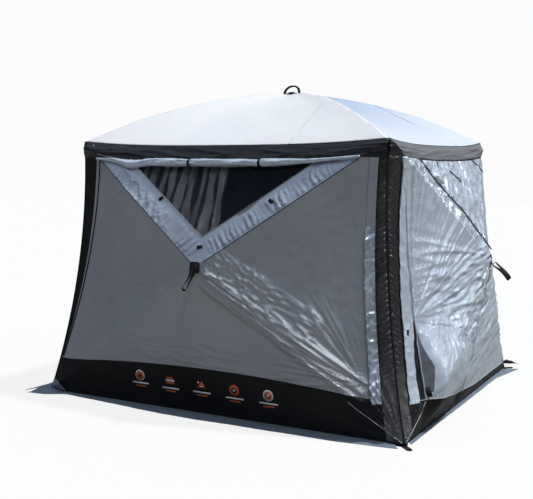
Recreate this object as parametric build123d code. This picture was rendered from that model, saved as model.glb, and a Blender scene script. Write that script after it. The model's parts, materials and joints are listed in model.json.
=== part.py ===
"""Four-sided pop-up hub shelter, in millimetres.

The origin is on the ground at the middle of the shelter, +Z is up, the window wall faces -Y and the right
wall faces +X. Each of the five faces (four walls and the roof) has one hub and four poles that run from the
hub to the face's corners. Pushing a hub in swings its poles and its four triangular cloths through flat.
"""
import os
from dataclasses import dataclass
from math import atan2, cos, degrees, hypot, radians, sin

from build123d import *

# ---- Shell: a tapered box with a low pyramid roof ----
BASE_HALF_X = 1300.0
BASE_HALF_Y = 1170.0
EAVE_HALF_X = 1105.0
EAVE_HALF_Y = 995.0
BASE_Z = 14.0
EAVE_Z = 1752.0
WALL_POP = 260.0          # how far a wall's cloth stands out at its hub
ROOF_POP = 350.0          # rise of the roof cloth from the eave to its hub

# ---- Cloth ----
CLOTH_THICK = 2.0
HINGE_GAP = 7.0           # from the seam line to the edge of the cloth solid
CORNER_RELIEF = 30.0      # cut back along the seam at each corner
WALL_TIP_CUT = 125.0      # cut back from the hub axis, up the cloth
ROOF_TIP_CUT = 175.0
TIP_CLEARANCE = 16.0      # between neighbouring cloths beside the hub when a face is flat
TAPE_RADIUS = 3.0

# ---- Window in the front wall's top cloth ----
WINDOW_SHARE = 0.60       # window size as a share of the cloth triangle
WINDOW_CENTRE_SHARE = 0.33  # height of the window's middle, from the eave, as a share of the cloth
MESH_GAP = 0.6
MESH_THICK = 1.0
ROLL_RADIUS = 22.0
ROLL_HALF_LENGTH = 820.0
ROLL_DROP = 125.0         # below the eave seam, along the cloth

# ---- Frame ----
POLE_RADIUS = 5.5
POLE_TAIL = 9.0           # pole beyond its corner pin
POLE_FERRULE = 16.0       # straight run past the pin
POLE_END_GAP = 12.0       # pole end to hub axis when the face is flat
WALL_INSET = 34.0         # cloth to the plane of the poles
ROOF_INSET = 46.0
ROOF_POLE_BOW = 60.0      # rise of the bent roof poles over their chord
FOOT_Z = 46.0             # height of a foot's pole joints
CORE_RADIUS = 24.0
CORE_HEIGHT = 40.0
CORE_FILLET = 6.0
PIVOT_OFFSET = 52.0       # connector centre to pole pin
CLEVIS_START = 15.0
CLEVIS_THROAT = 37.0
CLEVIS_END = 62.0
CLEVIS_WIDTH = 20.0
CLEVIS_HEIGHT = 16.0
CLEVIS_SLOT = 12.0
PIN_RADIUS = 2.5
PIN_LENGTH = 21.0
PIN_HOLE_RADIUS = 2.55
POLE_HOLE_RADIUS = 2.7
ANCHOR_RADIUS = 4.0
ANCHOR_STOP = 8.0         # the stub ends this far short of the corner of the tape

# ---- Foot ----
FOOT_PLATE_THICK = 6.0
FOOT_PLATE_RADIUS = 42.0
FOOT_POST_RADIUS = 18.0
PEG_TAB_WIDTH = 34.0
PEG_REACH = 112.0         # connector centre to peg hole
PEG_HOLE_RADIUS = 5.0

# ---- Hub ----
WALL_HUB_RADIUS = 60.0
ROOF_HUB_RADIUS = 78.0
LOBE_LOW = -18.0
LOBE_HIGH = 14.0
CHANNEL_WIDTH = 12.8
PLATE_RADIUS = 26.0
PLATE_THICK = 4.0
STEM_RADIUS = 9.0
PATCH_LIFT = 3.0          # outer plate above the cloth
PATCH_SIZE = 70.0
PATCH_CORNER = 12.0
PATCH_THICK = 4.0
CAP_RADIUS = 20.0
CAP_THICK = 7.0
FILLET = 1.5

# ---- Webbing ----
WEB_WIDTH = 25.0
WEB_THICK = 2.4
STRAP_LENGTH = 150.0
STRAP_LOOP = 29.0
STRAP_LEAN = 40.0         # degrees outward from straight down
STRAP_ROOT_DROP = 22.0    # hub axis to the strap's root
STRAP_GAP = 1.0
HANDLE_HALF_WIDTH = 60.0
HANDLE_HEIGHT = 62.0
HANDLE_FOOT_DROP = 8.0    # the handle's feet pass the plate's edge, down towards the cloth

# ---- Ground flap ----
FLAP_WIDTH = 180.0
FLAP_THICK = 3.0
FLAP_SEAM_GAP = 4.0
FLAP_CORNER_CUT = 75.0    # the ends stop short of the corner so that the peg tab passes

# ---- Zip sliders ----
SLIDER_LENGTH = 34.0
SLIDER_WIDTH = 16.0
SLIDER_THICK = 6.0
SLIDER_LIFT = 1.4
ZIP_INSET = 85.0          # corner seam to the zip, across the cloth
FRONT_SLIDER_SHARE = 0.10  # place along the seam, from the bottom
SIDE_SLIDER_SHARE = 0.36


@dataclass
class Face:
    """One hub face. Its plane lies in the flat cloth: x to the right, y up, z outward, origin on the hub axis."""

    name: str
    plane: Plane
    corners: dict         # cloth corners, counter-clockwise, as points of the shelter
    joints: dict          # connector centre at each of those corners
    pop: float
    inset: float
    hub_radius: float
    tip_cut: float
    bow: float


def half_widths(z):
    """Half-width of the cloth shell in x and y at height z."""
    share = (z - BASE_Z) / (EAVE_Z - BASE_Z)
    half_x = BASE_HALF_X + (EAVE_HALF_X - BASE_HALF_X) * share
    half_y = BASE_HALF_Y + (EAVE_HALF_Y - BASE_HALF_Y) * share
    return half_x, half_y


def cloth_corner(side_x, side_y, z):
    half_x, half_y = half_widths(z)
    return Vector(side_x * half_x, side_y * half_y, z)


def connector_centre(side_x, side_y, z):
    """The point inside a corner that is WALL_INSET from the cloth of both walls."""
    rise = EAVE_Z - BASE_Z
    inset_x = WALL_INSET * hypot(1, (BASE_HALF_X - EAVE_HALF_X) / rise)
    inset_y = WALL_INSET * hypot(1, (BASE_HALF_Y - EAVE_HALF_Y) / rise)
    half_x, half_y = half_widths(z)
    return Vector(side_x * (half_x - inset_x), side_y * (half_y - inset_y), z)


HEAD_Z = EAVE_Z - ROOF_INSET
CORNER_SIDES = {"front_left": (-1, -1), "front_right": (1, -1), "back_right": (1, 1), "back_left": (-1, 1)}


def wall_face(name, heading, left, right):
    """A wall between two corners, named from outside; heading 0 faces -Y and 90 faces +X."""
    turn = radians(heading)
    across = Vector(cos(turn), sin(turn), 0)
    sides = {"left": CORNER_SIDES[left], "right": CORNER_SIDES[right]}
    corners = {
        "lower_left": cloth_corner(*sides["left"], BASE_Z),
        "lower_right": cloth_corner(*sides["right"], BASE_Z),
        "upper_right": cloth_corner(*sides["right"], EAVE_Z),
        "upper_left": cloth_corner(*sides["left"], EAVE_Z),
    }
    joints = {
        "lower_left": connector_centre(*sides["left"], FOOT_Z),
        "lower_right": connector_centre(*sides["right"], FOOT_Z),
        "upper_right": connector_centre(*sides["right"], HEAD_Z),
        "upper_left": connector_centre(*sides["left"], HEAD_Z),
    }
    base_middle = (corners["lower_left"] + corners["lower_right"]) / 2
    eave_middle = (corners["upper_left"] + corners["upper_right"]) / 2
    normal = across.cross(eave_middle - base_middle)
    base_plane = Plane(origin=base_middle, x_dir=across, z_dir=normal)
    low = base_plane.to_local_coords(joints["lower_right"])
    high = base_plane.to_local_coords(joints["upper_right"])
    crossing = low.Y + (high.Y - low.Y) * low.X / (low.X + high.X)
    hub_foot = base_plane.from_local_coords(Vector(0, crossing, 0))
    plane = Plane(origin=hub_foot, x_dir=across, z_dir=normal)
    return Face(name, plane, corners, joints, WALL_POP, WALL_INSET, WALL_HUB_RADIUS, WALL_TIP_CUT, 0.0)


def roof_face():
    corners = {name: cloth_corner(*sides, EAVE_Z) for name, sides in CORNER_SIDES.items()}
    joints = {name: connector_centre(*sides, HEAD_Z) for name, sides in CORNER_SIDES.items()}
    plane = Plane(origin=(0, 0, EAVE_Z), x_dir=(1, 0, 0), z_dir=(0, 0, 1))
    return Face("roof", plane, corners, joints, ROOF_POP, ROOF_INSET, ROOF_HUB_RADIUS, ROOF_TIP_CUT,
                ROOF_POLE_BOW)


FACES = [
    wall_face("front", 0, "front_left", "front_right"),
    wall_face("right", 90, "front_right", "back_right"),
    wall_face("back", 180, "back_right", "back_left"),
    wall_face("left", 270, "back_left", "front_left"),
    roof_face(),
]
WALL_CLOTH_NAMES = ["bottom", "right", "top", "left"]
ROOF_CLOTH_NAMES = ["front", "right", "back", "left"]


@dataclass
class Pole:
    """Where one pole's pin is and how the pole stands at rest."""

    pin: Vector           # on the pin's axis
    inward: Vector        # from the pin to the hub axis, in the face
    reach: float          # pin to hub axis, in the face
    angle: float          # radians between the pole's chord and the face
    length: float         # pin to the pole's hub end
    axis: Vector          # along the pin; positive turns push the pole in


def pole_of(face, corner):
    centre = face.plane.to_local_coords(face.joints[corner])
    towards = Vector(-centre.X, -centre.Y, 0).normalized()
    pin_local = centre + towards * PIVOT_OFFSET
    reach = hypot(pin_local.X, pin_local.Y)
    full = hypot(reach, face.pop)
    end_radius = full - reach + POLE_END_GAP
    inward = (face.plane.from_local_coords(towards) - face.plane.origin).normalized()
    axis = face.plane.z_dir.cross(inward).normalized()
    pin = face.plane.from_local_coords(pin_local)
    return Pole(pin, inward, reach, atan2(face.pop, reach), full - end_radius, axis)


def cloth_of(face, index):
    """Seam line start, seam direction, inward direction, seam length, foot of the hub axis, height and angle."""
    names = list(face.corners)
    start = face.corners[names[index]]
    end = face.corners[names[(index + 1) % 4]]
    along = (end - start).normalized()
    inward = face.plane.z_dir.cross(along).normalized()
    to_hub = face.plane.origin - start
    foot = to_hub.dot(along)
    height = to_hub.dot(inward)
    return start, along, inward, (end - start).length, foot, height, atan2(face.pop, height)


def tilted(inward, normal, angle):
    return inward * cos(angle) + normal * sin(angle)


def rod(start, end, radius):
    span = end - start
    return Plane(origin=start, z_dir=span.normalized()) * extrude(Circle(radius), amount=span.length)


# ---- Frame pieces ----

def make_pole(face, corner):
    pole = pole_of(face, corner)
    chord = tilted(pole.inward, face.plane.z_dir, pole.angle)
    across = pole.axis * -1
    side = Plane(origin=pole.pin, x_dir=chord, z_dir=across)
    rise = 2 * atan2(2 * face.bow, pole.length)
    start = Vector(cos(rise), sin(rise), 0)
    straight_end = start * POLE_FERRULE
    hub_end = Vector(pole.length, 0, 0)
    line = Line(start * -POLE_TAIL, straight_end)
    rest = TangentArc(straight_end, hub_end, tangent=start) if face.bow else Line(straight_end, hub_end)
    path = side * Wire([line, rest])
    section = Plane(origin=path @ 0, z_dir=path % 0) * Circle(POLE_RADIUS)
    shaft = sweep(section, path=path)
    hole = Plane(origin=pole.pin, z_dir=pole.axis) * Cylinder(POLE_HOLE_RADIUS, 4 * POLE_RADIUS)
    return shaft - hole


def clevis(centre, inward, axis):
    """Two ears and their web, pointing along inward, with the pin hole."""
    side = Plane(origin=centre, x_dir=inward, z_dir=axis)
    length = CLEVIS_END - CLEVIS_START
    block = Pos((CLEVIS_START + CLEVIS_END) / 2, 0, 0) * Box(length, CLEVIS_HEIGHT, CLEVIS_WIDTH)
    block = fillet(block.edges().filter_by(Axis.Z).group_by(Axis.X)[-1], CLEVIS_HEIGHT / 2 - 0.5)
    slot = Pos((CLEVIS_THROAT + CLEVIS_END) / 2 + 1, 0, 0) * Box(
        CLEVIS_END - CLEVIS_THROAT + 2, 2 * CLEVIS_HEIGHT, CLEVIS_SLOT)
    hole = Pos(PIVOT_OFFSET, 0, 0) * Cylinder(PIN_HOLE_RADIUS, 2 * CLEVIS_WIDTH)
    return side * (block - slot - hole)


def clevises(target):
    """The clevises of one connector: one for each face whose poles end there."""
    made = []
    for face in FACES:
        for name, centre in face.joints.items():
            if (centre - target).length < 1:
                pole = pole_of(face, name)
                made.append(clevis(centre, pole.inward, pole.axis))
    return made


def connector_core(centre):
    """Short upright drum that the clevises grow from."""
    drum = Cylinder(CORE_RADIUS, CORE_HEIGHT)
    return Pos(centre) * fillet(drum.edges(), CORE_FILLET)


def cloth_anchor(centre, corner):
    """Short stub that holds the connector to the edge tape."""
    span = corner - centre
    reach = span.length - ANCHOR_STOP
    return rod(centre, centre + span.normalized() * reach, ANCHOR_RADIUS)


def make_connector(corner_name):
    sides = CORNER_SIDES[corner_name]
    centre = connector_centre(*sides, HEAD_Z)
    body = connector_core(centre)
    for lug in clevises(centre):
        body += lug
    return body + cloth_anchor(centre, cloth_corner(*sides, EAVE_Z))


def peg_hole_centre(corner_name):
    sides = CORNER_SIDES[corner_name]
    centre = connector_centre(*sides, FOOT_Z)
    outward = Vector(sides[0], sides[1], 0).normalized()
    return Vector(centre.X, centre.Y, 0) + outward * PEG_REACH


def make_foot(corner_name):
    sides = CORNER_SIDES[corner_name]
    centre = connector_centre(*sides, FOOT_Z)
    ground = Vector(centre.X, centre.Y, 0)
    peg = peg_hole_centre(corner_name)
    outward = (peg - ground).normalized()
    flat = Plane(origin=ground, x_dir=outward, z_dir=(0, 0, 1))
    plate = Circle(FOOT_PLATE_RADIUS)
    plate += Pos(PEG_REACH / 2, 0) * Rectangle(PEG_REACH, PEG_TAB_WIDTH)
    plate += Pos(PEG_REACH, 0) * Circle(PEG_TAB_WIDTH / 2)
    plate -= Pos(PEG_REACH, 0) * Circle(PEG_HOLE_RADIUS)
    body = flat * extrude(plate, amount=FOOT_PLATE_THICK)
    body += rod(ground, centre, FOOT_POST_RADIUS)
    body += connector_core(centre)
    for lug in clevises(centre):
        body += lug
    return body


def make_pins():
    pins = []
    for face in FACES:
        for corner in face.joints:
            pole = pole_of(face, corner)
            pins.append(Plane(origin=pole.pin, z_dir=pole.axis) * Cylinder(PIN_RADIUS, PIN_LENGTH))
    return pins


# ---- Hubs and webbing ----

def hub_plane(face):
    """The face's plane carried out to the middle of the hub at rest."""
    lift = face.pop - face.inset
    return Plane(origin=face.plane.origin + face.plane.z_dir * lift, x_dir=face.plane.x_dir,
                 z_dir=face.plane.z_dir)


def make_hub(face):
    lobes = Pos(0, 0, (LOBE_LOW + LOBE_HIGH) / 2) * Cylinder(face.hub_radius, LOBE_HIGH - LOBE_LOW)
    lobes = fillet(lobes.edges(), FILLET)
    for corner in face.joints:
        spot = face.plane.to_local_coords(face.joints[corner])
        turn = degrees(atan2(spot.Y, spot.X))
        reach = face.hub_radius + 10
        height = 3 * (LOBE_HIGH - LOBE_LOW)
        lobes -= Rot(0, 0, turn) * Pos(reach / 2, 0, 0) * Box(reach, CHANNEL_WIDTH, height)
    plate_middle = LOBE_HIGH + PLATE_THICK / 2
    body = lobes + Pos(0, 0, plate_middle) * Cylinder(PLATE_RADIUS, PLATE_THICK)
    patch_low = face.inset + PATCH_LIFT
    stem_low = LOBE_HIGH + PLATE_THICK / 2
    body += Pos(0, 0, (stem_low + patch_low) / 2) * Cylinder(STEM_RADIUS, patch_low - stem_low)
    patch = extrude(RectangleRounded(PATCH_SIZE, PATCH_SIZE, PATCH_CORNER), amount=PATCH_THICK)
    body += Pos(0, 0, patch_low) * patch
    cap = Cylinder(CAP_RADIUS, CAP_THICK)
    cap = fillet(cap.edges().group_by(Axis.Z)[-1], FILLET)
    body += Pos(0, 0, patch_low + PATCH_THICK + CAP_THICK / 2) * cap
    return hub_plane(face) * body


def patch_top(face):
    return face.inset + PATCH_LIFT + PATCH_THICK


def strap_frame(face):
    """Root of the hanging loop: x runs down and outward along the loop, z runs across the webbing."""
    hub = hub_plane(face)
    drop = hub.y_dir * -cos(radians(STRAP_LEAN)) + hub.z_dir * sin(radians(STRAP_LEAN))
    root_local = Vector(0, -STRAP_ROOT_DROP, patch_top(face) + STRAP_GAP + STRAP_LOOP / 2)
    return Plane(origin=hub.from_local_coords(root_local), x_dir=drop, z_dir=hub.x_dir)


def make_strap(face):
    outer = SlotOverall(STRAP_LENGTH, STRAP_LOOP)
    inner = SlotOverall(STRAP_LENGTH - 2 * WEB_THICK, STRAP_LOOP - 2 * WEB_THICK)
    loop = extrude(outer - inner, amount=WEB_WIDTH / 2, both=True)
    return strap_frame(face) * Pos(STRAP_LENGTH / 2, 0, 0) * loop


def make_roof_handle(face):
    top = hub_plane(face)
    outer = Ellipse(HANDLE_HALF_WIDTH, HANDLE_HEIGHT)
    inner = Ellipse(HANDLE_HALF_WIDTH - WEB_THICK, HANDLE_HEIGHT - WEB_THICK)
    arch = (outer - inner) & Pos(0, HANDLE_HEIGHT / 2) * Rectangle(3 * HANDLE_HALF_WIDTH, HANDLE_HEIGHT)
    bar = Plane.XZ * extrude(arch, amount=WEB_WIDTH / 2, both=True)
    return top * Pos(0, 0, face.inset + PATCH_LIFT - HANDLE_FOOT_DROP) * bar


# ---- Cloth pieces ----

def cloth_plane(face, index):
    start, along, inward, length, foot, height, angle = cloth_of(face, index)
    return Plane(origin=start, x_dir=along, z_dir=along.cross(tilted(inward, face.plane.z_dir, angle)))


def cloth_outline(face, index):
    """Triangle from the seam to near the hub, cut back along the diagonals so that it can pass through flat."""
    start, along, inward, length, foot, height, angle = cloth_of(face, index)
    slant = hypot(height, face.pop)
    overrun = slant - height
    tip_y = slant - face.tip_cut
    left_half = face.tip_cut * foot / slant - (overrun + TIP_CLEARANCE)
    right_half = face.tip_cut * (length - foot) / slant - (overrun + TIP_CLEARANCE)
    least = 12.0
    return [
        (CORNER_RELIEF, HINGE_GAP),
        (length - CORNER_RELIEF, HINGE_GAP),
        (foot + max(right_half, least), tip_y),
        (foot - max(left_half, least), tip_y),
    ]


def flat_piece(points, thickness):
    return extrude(make_face(Polyline(*points, close=True)), amount=thickness / 2, both=True)


def shrunk(points, middle, share):
    return [(middle[0] + (x - middle[0]) * share, middle[1] + (y - middle[1]) * share) for x, y in points]


def window_outline(face, index, grow=0.0):
    """Window triangle in the top cloth, a smaller copy of the cloth."""
    points = cloth_outline(face, index)
    foot = (points[2][0] + points[3][0]) / 2
    height = points[2][1]
    share = WINDOW_SHARE + grow / height
    return shrunk(points, (foot, height * WINDOW_CENTRE_SHARE), share)


def make_cloth(face, index):
    solid = flat_piece(cloth_outline(face, index), CLOTH_THICK)
    if face.name == "front" and WALL_CLOTH_NAMES[index] == "top":
        solid -= flat_piece(window_outline(face, index), 3 * CLOTH_THICK)
    return cloth_plane(face, index) * solid


def make_window_mesh(face, index):
    return cloth_plane(face, index) * flat_piece(window_outline(face, index, -2 * MESH_GAP), MESH_THICK)


def make_window_roll(face, index):
    start, along, inward, length, foot, height, angle = cloth_of(face, index)
    lift = CLOTH_THICK / 2 + ROLL_RADIUS + 1
    bar = Cylinder(ROLL_RADIUS, 2 * ROLL_HALF_LENGTH, rotation=(0, 90, 0))
    bar = fillet(bar.edges(), ROLL_RADIUS * 0.4)
    return cloth_plane(face, index) * Pos(foot, ROLL_DROP, lift) * bar


def zip_point(face, index, share):
    """A point on the zip beside a side seam, share of the way along the seam from its start."""
    length = cloth_of(face, index)[3]
    return Vector(length * share, ZIP_INSET, CLOTH_THICK / 2 + SLIDER_LIFT + SLIDER_THICK / 2)


def make_slider(face, index, share):
    body = Box(SLIDER_LENGTH, SLIDER_WIDTH, SLIDER_THICK)
    body = fillet(body.edges(), FILLET)
    spot = zip_point(face, index, share)
    return cloth_plane(face, index) * Pos(spot.X, spot.Y, spot.Z) * body


def make_edge_tape():
    """Cord sewn into the four corners, the eave and the base line, as one closed cage."""
    low = [cloth_corner(*sides, BASE_Z) for sides in CORNER_SIDES.values()]
    high = [cloth_corner(*sides, EAVE_Z) for sides in CORNER_SIDES.values()]
    spans = []
    for i in range(4):
        spans += [(low[i], low[(i + 1) % 4]), (high[i], high[(i + 1) % 4]), (low[i], high[i])]
    cage = None
    for start, end in spans:
        piece = rod(start, end, TAPE_RADIUS)
        cage = piece if cage is None else cage + piece
    for point in low + high:
        cage += Pos(point) * Sphere(TAPE_RADIUS)
    return cage


def make_ground_flap():
    """Four strips on the ground, outside the base line, with open corners for the peg tabs."""
    strips = []
    for heading, half, out in ((0, BASE_HALF_X, BASE_HALF_Y), (90, BASE_HALF_Y, BASE_HALF_X),
                               (180, BASE_HALF_X, BASE_HALF_Y), (270, BASE_HALF_Y, BASE_HALF_X)):
        inner = out + FLAP_SEAM_GAP
        outer = out + FLAP_WIDTH
        inner_end = half - FLAP_CORNER_CUT
        outer_end = half + FLAP_WIDTH - FLAP_CORNER_CUT
        points = [(-inner_end, -inner), (-outer_end, -outer), (outer_end, -outer), (inner_end, -inner)]
        strip = extrude(make_face(Polyline(*points, close=True)), amount=FLAP_THICK)
        strips.append(Rot(0, 0, heading) * strip)
    return strips


def write(name, shape):
    """One STEP file for one node; a list becomes a group of separate solids."""
    if isinstance(shape, list):
        shape = Compound(children=[solid for piece in shape for solid in piece.solids()])
    export_step(shape, f"parts/{name}.step")


def main():
    os.makedirs("parts", exist_ok=True)
    for face in FACES:
        write(f"{face.name}_hub", make_hub(face))
        for corner in face.joints:
            write(f"{face.name}_pole_{corner}", make_pole(face, corner))
        names = ROOF_CLOTH_NAMES if face.name == "roof" else WALL_CLOTH_NAMES
        for index, cloth_name in enumerate(names):
            write(f"{face.name}_cloth_{cloth_name}", make_cloth(face, index))
        if face.name == "roof":
            write("roof_handle", make_roof_handle(face))
        else:
            write(f"{face.name}_pull_strap", make_strap(face))
    front = FACES[0]
    right = FACES[1]
    top = WALL_CLOTH_NAMES.index("top")
    left = WALL_CLOTH_NAMES.index("left")
    write("front_window_mesh", make_window_mesh(front, top))
    write("front_window_roll", make_window_roll(front, top))
    write("front_zip_slider", make_slider(front, left, 1 - FRONT_SLIDER_SHARE))
    write("right_zip_slider", make_slider(right, left, 1 - SIDE_SLIDER_SHARE))
    write("upper_connectors", [make_connector(name) for name in CORNER_SIDES])
    write("corner_feet", [make_foot(name) for name in CORNER_SIDES])
    write("pivot_pins", make_pins())
    write("edge_tape", make_edge_tape())
    write("ground_flap", make_ground_flap())


main()
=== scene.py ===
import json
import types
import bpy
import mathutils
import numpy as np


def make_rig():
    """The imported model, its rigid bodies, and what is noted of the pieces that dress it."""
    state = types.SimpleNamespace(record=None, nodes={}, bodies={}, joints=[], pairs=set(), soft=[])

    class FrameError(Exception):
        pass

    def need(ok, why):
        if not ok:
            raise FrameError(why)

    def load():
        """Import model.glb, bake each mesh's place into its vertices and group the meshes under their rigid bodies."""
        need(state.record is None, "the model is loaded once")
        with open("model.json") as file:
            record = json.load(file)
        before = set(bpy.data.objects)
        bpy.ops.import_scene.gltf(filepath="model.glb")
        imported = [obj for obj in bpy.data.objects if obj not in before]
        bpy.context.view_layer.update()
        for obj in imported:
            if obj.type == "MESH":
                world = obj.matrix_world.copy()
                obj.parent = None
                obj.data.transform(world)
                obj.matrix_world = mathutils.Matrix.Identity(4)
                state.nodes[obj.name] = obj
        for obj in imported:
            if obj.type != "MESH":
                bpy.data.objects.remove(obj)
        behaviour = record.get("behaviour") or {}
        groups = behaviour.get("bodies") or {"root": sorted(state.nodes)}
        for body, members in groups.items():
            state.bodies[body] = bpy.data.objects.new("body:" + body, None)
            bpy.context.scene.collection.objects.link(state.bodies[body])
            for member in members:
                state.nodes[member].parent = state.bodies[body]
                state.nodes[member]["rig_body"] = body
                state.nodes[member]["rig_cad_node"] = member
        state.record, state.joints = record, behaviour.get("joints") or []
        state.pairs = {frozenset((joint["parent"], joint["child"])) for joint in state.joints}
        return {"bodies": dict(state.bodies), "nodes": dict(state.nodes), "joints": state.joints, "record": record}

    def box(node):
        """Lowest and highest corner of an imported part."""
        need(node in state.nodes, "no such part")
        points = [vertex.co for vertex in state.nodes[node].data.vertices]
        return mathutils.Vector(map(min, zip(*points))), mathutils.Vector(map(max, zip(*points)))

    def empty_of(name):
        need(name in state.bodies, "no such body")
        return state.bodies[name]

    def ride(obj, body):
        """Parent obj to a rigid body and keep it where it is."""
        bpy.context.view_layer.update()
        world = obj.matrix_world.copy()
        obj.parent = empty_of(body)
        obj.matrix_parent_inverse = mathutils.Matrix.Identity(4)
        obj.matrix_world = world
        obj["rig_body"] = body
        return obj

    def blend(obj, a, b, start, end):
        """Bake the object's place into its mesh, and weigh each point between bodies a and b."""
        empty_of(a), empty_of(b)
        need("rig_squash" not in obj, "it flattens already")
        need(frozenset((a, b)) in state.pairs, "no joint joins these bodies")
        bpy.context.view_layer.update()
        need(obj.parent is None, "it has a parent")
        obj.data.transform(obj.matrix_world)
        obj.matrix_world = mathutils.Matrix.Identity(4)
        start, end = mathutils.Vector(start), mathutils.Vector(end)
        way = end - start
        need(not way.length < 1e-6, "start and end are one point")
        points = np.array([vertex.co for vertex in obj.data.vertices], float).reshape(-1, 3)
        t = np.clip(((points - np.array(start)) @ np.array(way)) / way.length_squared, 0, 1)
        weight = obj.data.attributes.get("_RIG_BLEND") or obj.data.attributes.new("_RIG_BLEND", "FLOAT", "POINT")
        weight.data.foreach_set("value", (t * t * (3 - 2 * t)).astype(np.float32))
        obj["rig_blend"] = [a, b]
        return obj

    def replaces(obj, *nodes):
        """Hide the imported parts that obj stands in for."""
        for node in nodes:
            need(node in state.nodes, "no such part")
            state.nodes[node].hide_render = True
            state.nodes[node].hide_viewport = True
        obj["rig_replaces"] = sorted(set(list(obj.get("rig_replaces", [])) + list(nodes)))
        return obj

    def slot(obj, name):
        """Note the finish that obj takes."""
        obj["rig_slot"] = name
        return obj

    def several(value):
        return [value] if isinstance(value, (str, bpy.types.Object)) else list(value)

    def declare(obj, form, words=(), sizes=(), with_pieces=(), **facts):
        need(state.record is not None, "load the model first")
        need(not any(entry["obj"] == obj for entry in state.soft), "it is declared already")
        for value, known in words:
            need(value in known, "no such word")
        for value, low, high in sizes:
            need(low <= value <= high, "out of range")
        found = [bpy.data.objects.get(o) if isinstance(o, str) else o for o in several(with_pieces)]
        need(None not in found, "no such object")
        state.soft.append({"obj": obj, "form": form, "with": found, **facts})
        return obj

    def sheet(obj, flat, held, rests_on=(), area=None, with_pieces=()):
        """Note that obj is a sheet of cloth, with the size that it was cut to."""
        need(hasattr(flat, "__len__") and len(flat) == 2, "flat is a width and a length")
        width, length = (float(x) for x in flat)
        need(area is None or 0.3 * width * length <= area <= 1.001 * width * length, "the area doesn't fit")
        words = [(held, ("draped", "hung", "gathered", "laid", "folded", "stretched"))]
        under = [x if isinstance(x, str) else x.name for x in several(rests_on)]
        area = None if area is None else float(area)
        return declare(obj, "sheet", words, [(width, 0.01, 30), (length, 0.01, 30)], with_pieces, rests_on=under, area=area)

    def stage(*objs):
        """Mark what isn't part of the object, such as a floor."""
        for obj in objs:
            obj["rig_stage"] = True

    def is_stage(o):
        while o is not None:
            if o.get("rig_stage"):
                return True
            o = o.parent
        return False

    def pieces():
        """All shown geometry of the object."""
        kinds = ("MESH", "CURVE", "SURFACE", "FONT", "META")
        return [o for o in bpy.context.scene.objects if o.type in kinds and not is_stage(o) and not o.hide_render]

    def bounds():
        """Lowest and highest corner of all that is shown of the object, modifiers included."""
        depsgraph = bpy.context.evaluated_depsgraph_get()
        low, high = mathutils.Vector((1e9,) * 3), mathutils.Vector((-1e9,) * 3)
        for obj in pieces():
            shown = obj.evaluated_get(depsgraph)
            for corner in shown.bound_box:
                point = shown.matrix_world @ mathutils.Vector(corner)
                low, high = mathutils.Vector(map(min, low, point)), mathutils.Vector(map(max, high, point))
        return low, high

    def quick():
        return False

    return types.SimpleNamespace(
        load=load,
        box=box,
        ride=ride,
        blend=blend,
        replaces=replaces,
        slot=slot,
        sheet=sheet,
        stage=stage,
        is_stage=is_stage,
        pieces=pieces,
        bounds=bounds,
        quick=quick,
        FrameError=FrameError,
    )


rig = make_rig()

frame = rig.load()

# Looks of the four-sided hub shelter, in metres, in the frame's own axes: +Z up, the window wall faces -Y
# and the right wall faces +X. Each wall is described in flat cloth coordinates (u to the right and v up, from
# the hub axis), and a Wall turns those into points on the popped, bowed cloth.
import json
from math import atan2, ceil, cos, hypot, pi, radians, sin, sqrt

import bmesh
import bpy
import numpy as np
from mathutils import Euler, Vector

CAD_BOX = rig.bounds()
JOINTS = {joint["name"]: joint for joint in frame["joints"]}

CLOTH_THICK = 0.0016
CORNER_BOWS = {            # how far each corner seam is pulled in at mid height
    (-1, -1): (0.055, 0.050, 0.0),
    (1, -1): (-0.062, 0.045, 0.0),
    (1, 1): (-0.058, -0.052, 0.0),
    (-1, 1): (0.058, -0.052, 0.0),
}
EAVE_SAG = 0.034
ROOF_DOME = 0.080          # rise of the bent ridges over their chords
DOME_BETWEEN = 0.42        # share of that rise left half way between two ridges
BLEND_SHARES = (0.93, 0.75)   # where, from the hub to a seam, cloth starts and ends its swing with the frame
MESH_SCALE = 2.0 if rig.quick() else 1.0
FINE, MEDIUM, COARSE = 0.0075 * MESH_SCALE, 0.012 * MESH_SCALE, 0.020 * MESH_SCALE   # mesh steps

TOP_LINE = 0.700           # lower edge of the black border under the eave
HEM_LINE = -0.700          # lower edge of the silver panels
ARM_WIDTH = 0.160          # silver band beside the window, from the pole
STRIP_WIDTH = 0.056


# ======== Noise and folds ========

def lattice(ix, iy, seed):
    """Repeatable value from 0 to 1 for each lattice point."""
    mixed = (ix * 374761393 + iy * 668265263 + seed * 974634777) & 0xFFFFFFFF
    mixed = ((mixed ^ (mixed >> 13)) * 1274126177) & 0xFFFFFFFF
    return ((mixed ^ (mixed >> 16)) & 0xFFFFFF) / float(1 << 24)


def noise(x, y, seed=0):
    """Smooth gradient noise, about -1 to 1."""
    ix, iy = np.floor(x).astype(np.int64), np.floor(y).astype(np.int64)
    fx, fy = x - ix, y - iy

    def corner(dx, dy):
        angle = 2 * pi * lattice(ix + dx, iy + dy, seed)
        return np.cos(angle) * (fx - dx) + np.sin(angle) * (fy - dy)

    sx, sy = fx * fx * (3 - 2 * fx), fy * fy * (3 - 2 * fy)
    low = corner(0, 0) * (1 - sx) + corner(1, 0) * sx
    high = corner(0, 1) * (1 - sx) + corner(1, 1) * sx
    return 1.5 * (low * (1 - sy) + high * sy)


def ridged(x, y, seed=0, sharp=1.6):
    """Narrow crests with round valleys between them, 0 to 1."""
    return np.clip(1 - np.abs(noise(x, y, seed)) * 1.7, 0, 1) ** sharp


def ramp(x, start, end):
    """0 at start, 1 at end, eased."""
    t = np.clip((x - start) / (end - start), 0, 1)
    return t * t * (3 - 2 * t)


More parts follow.
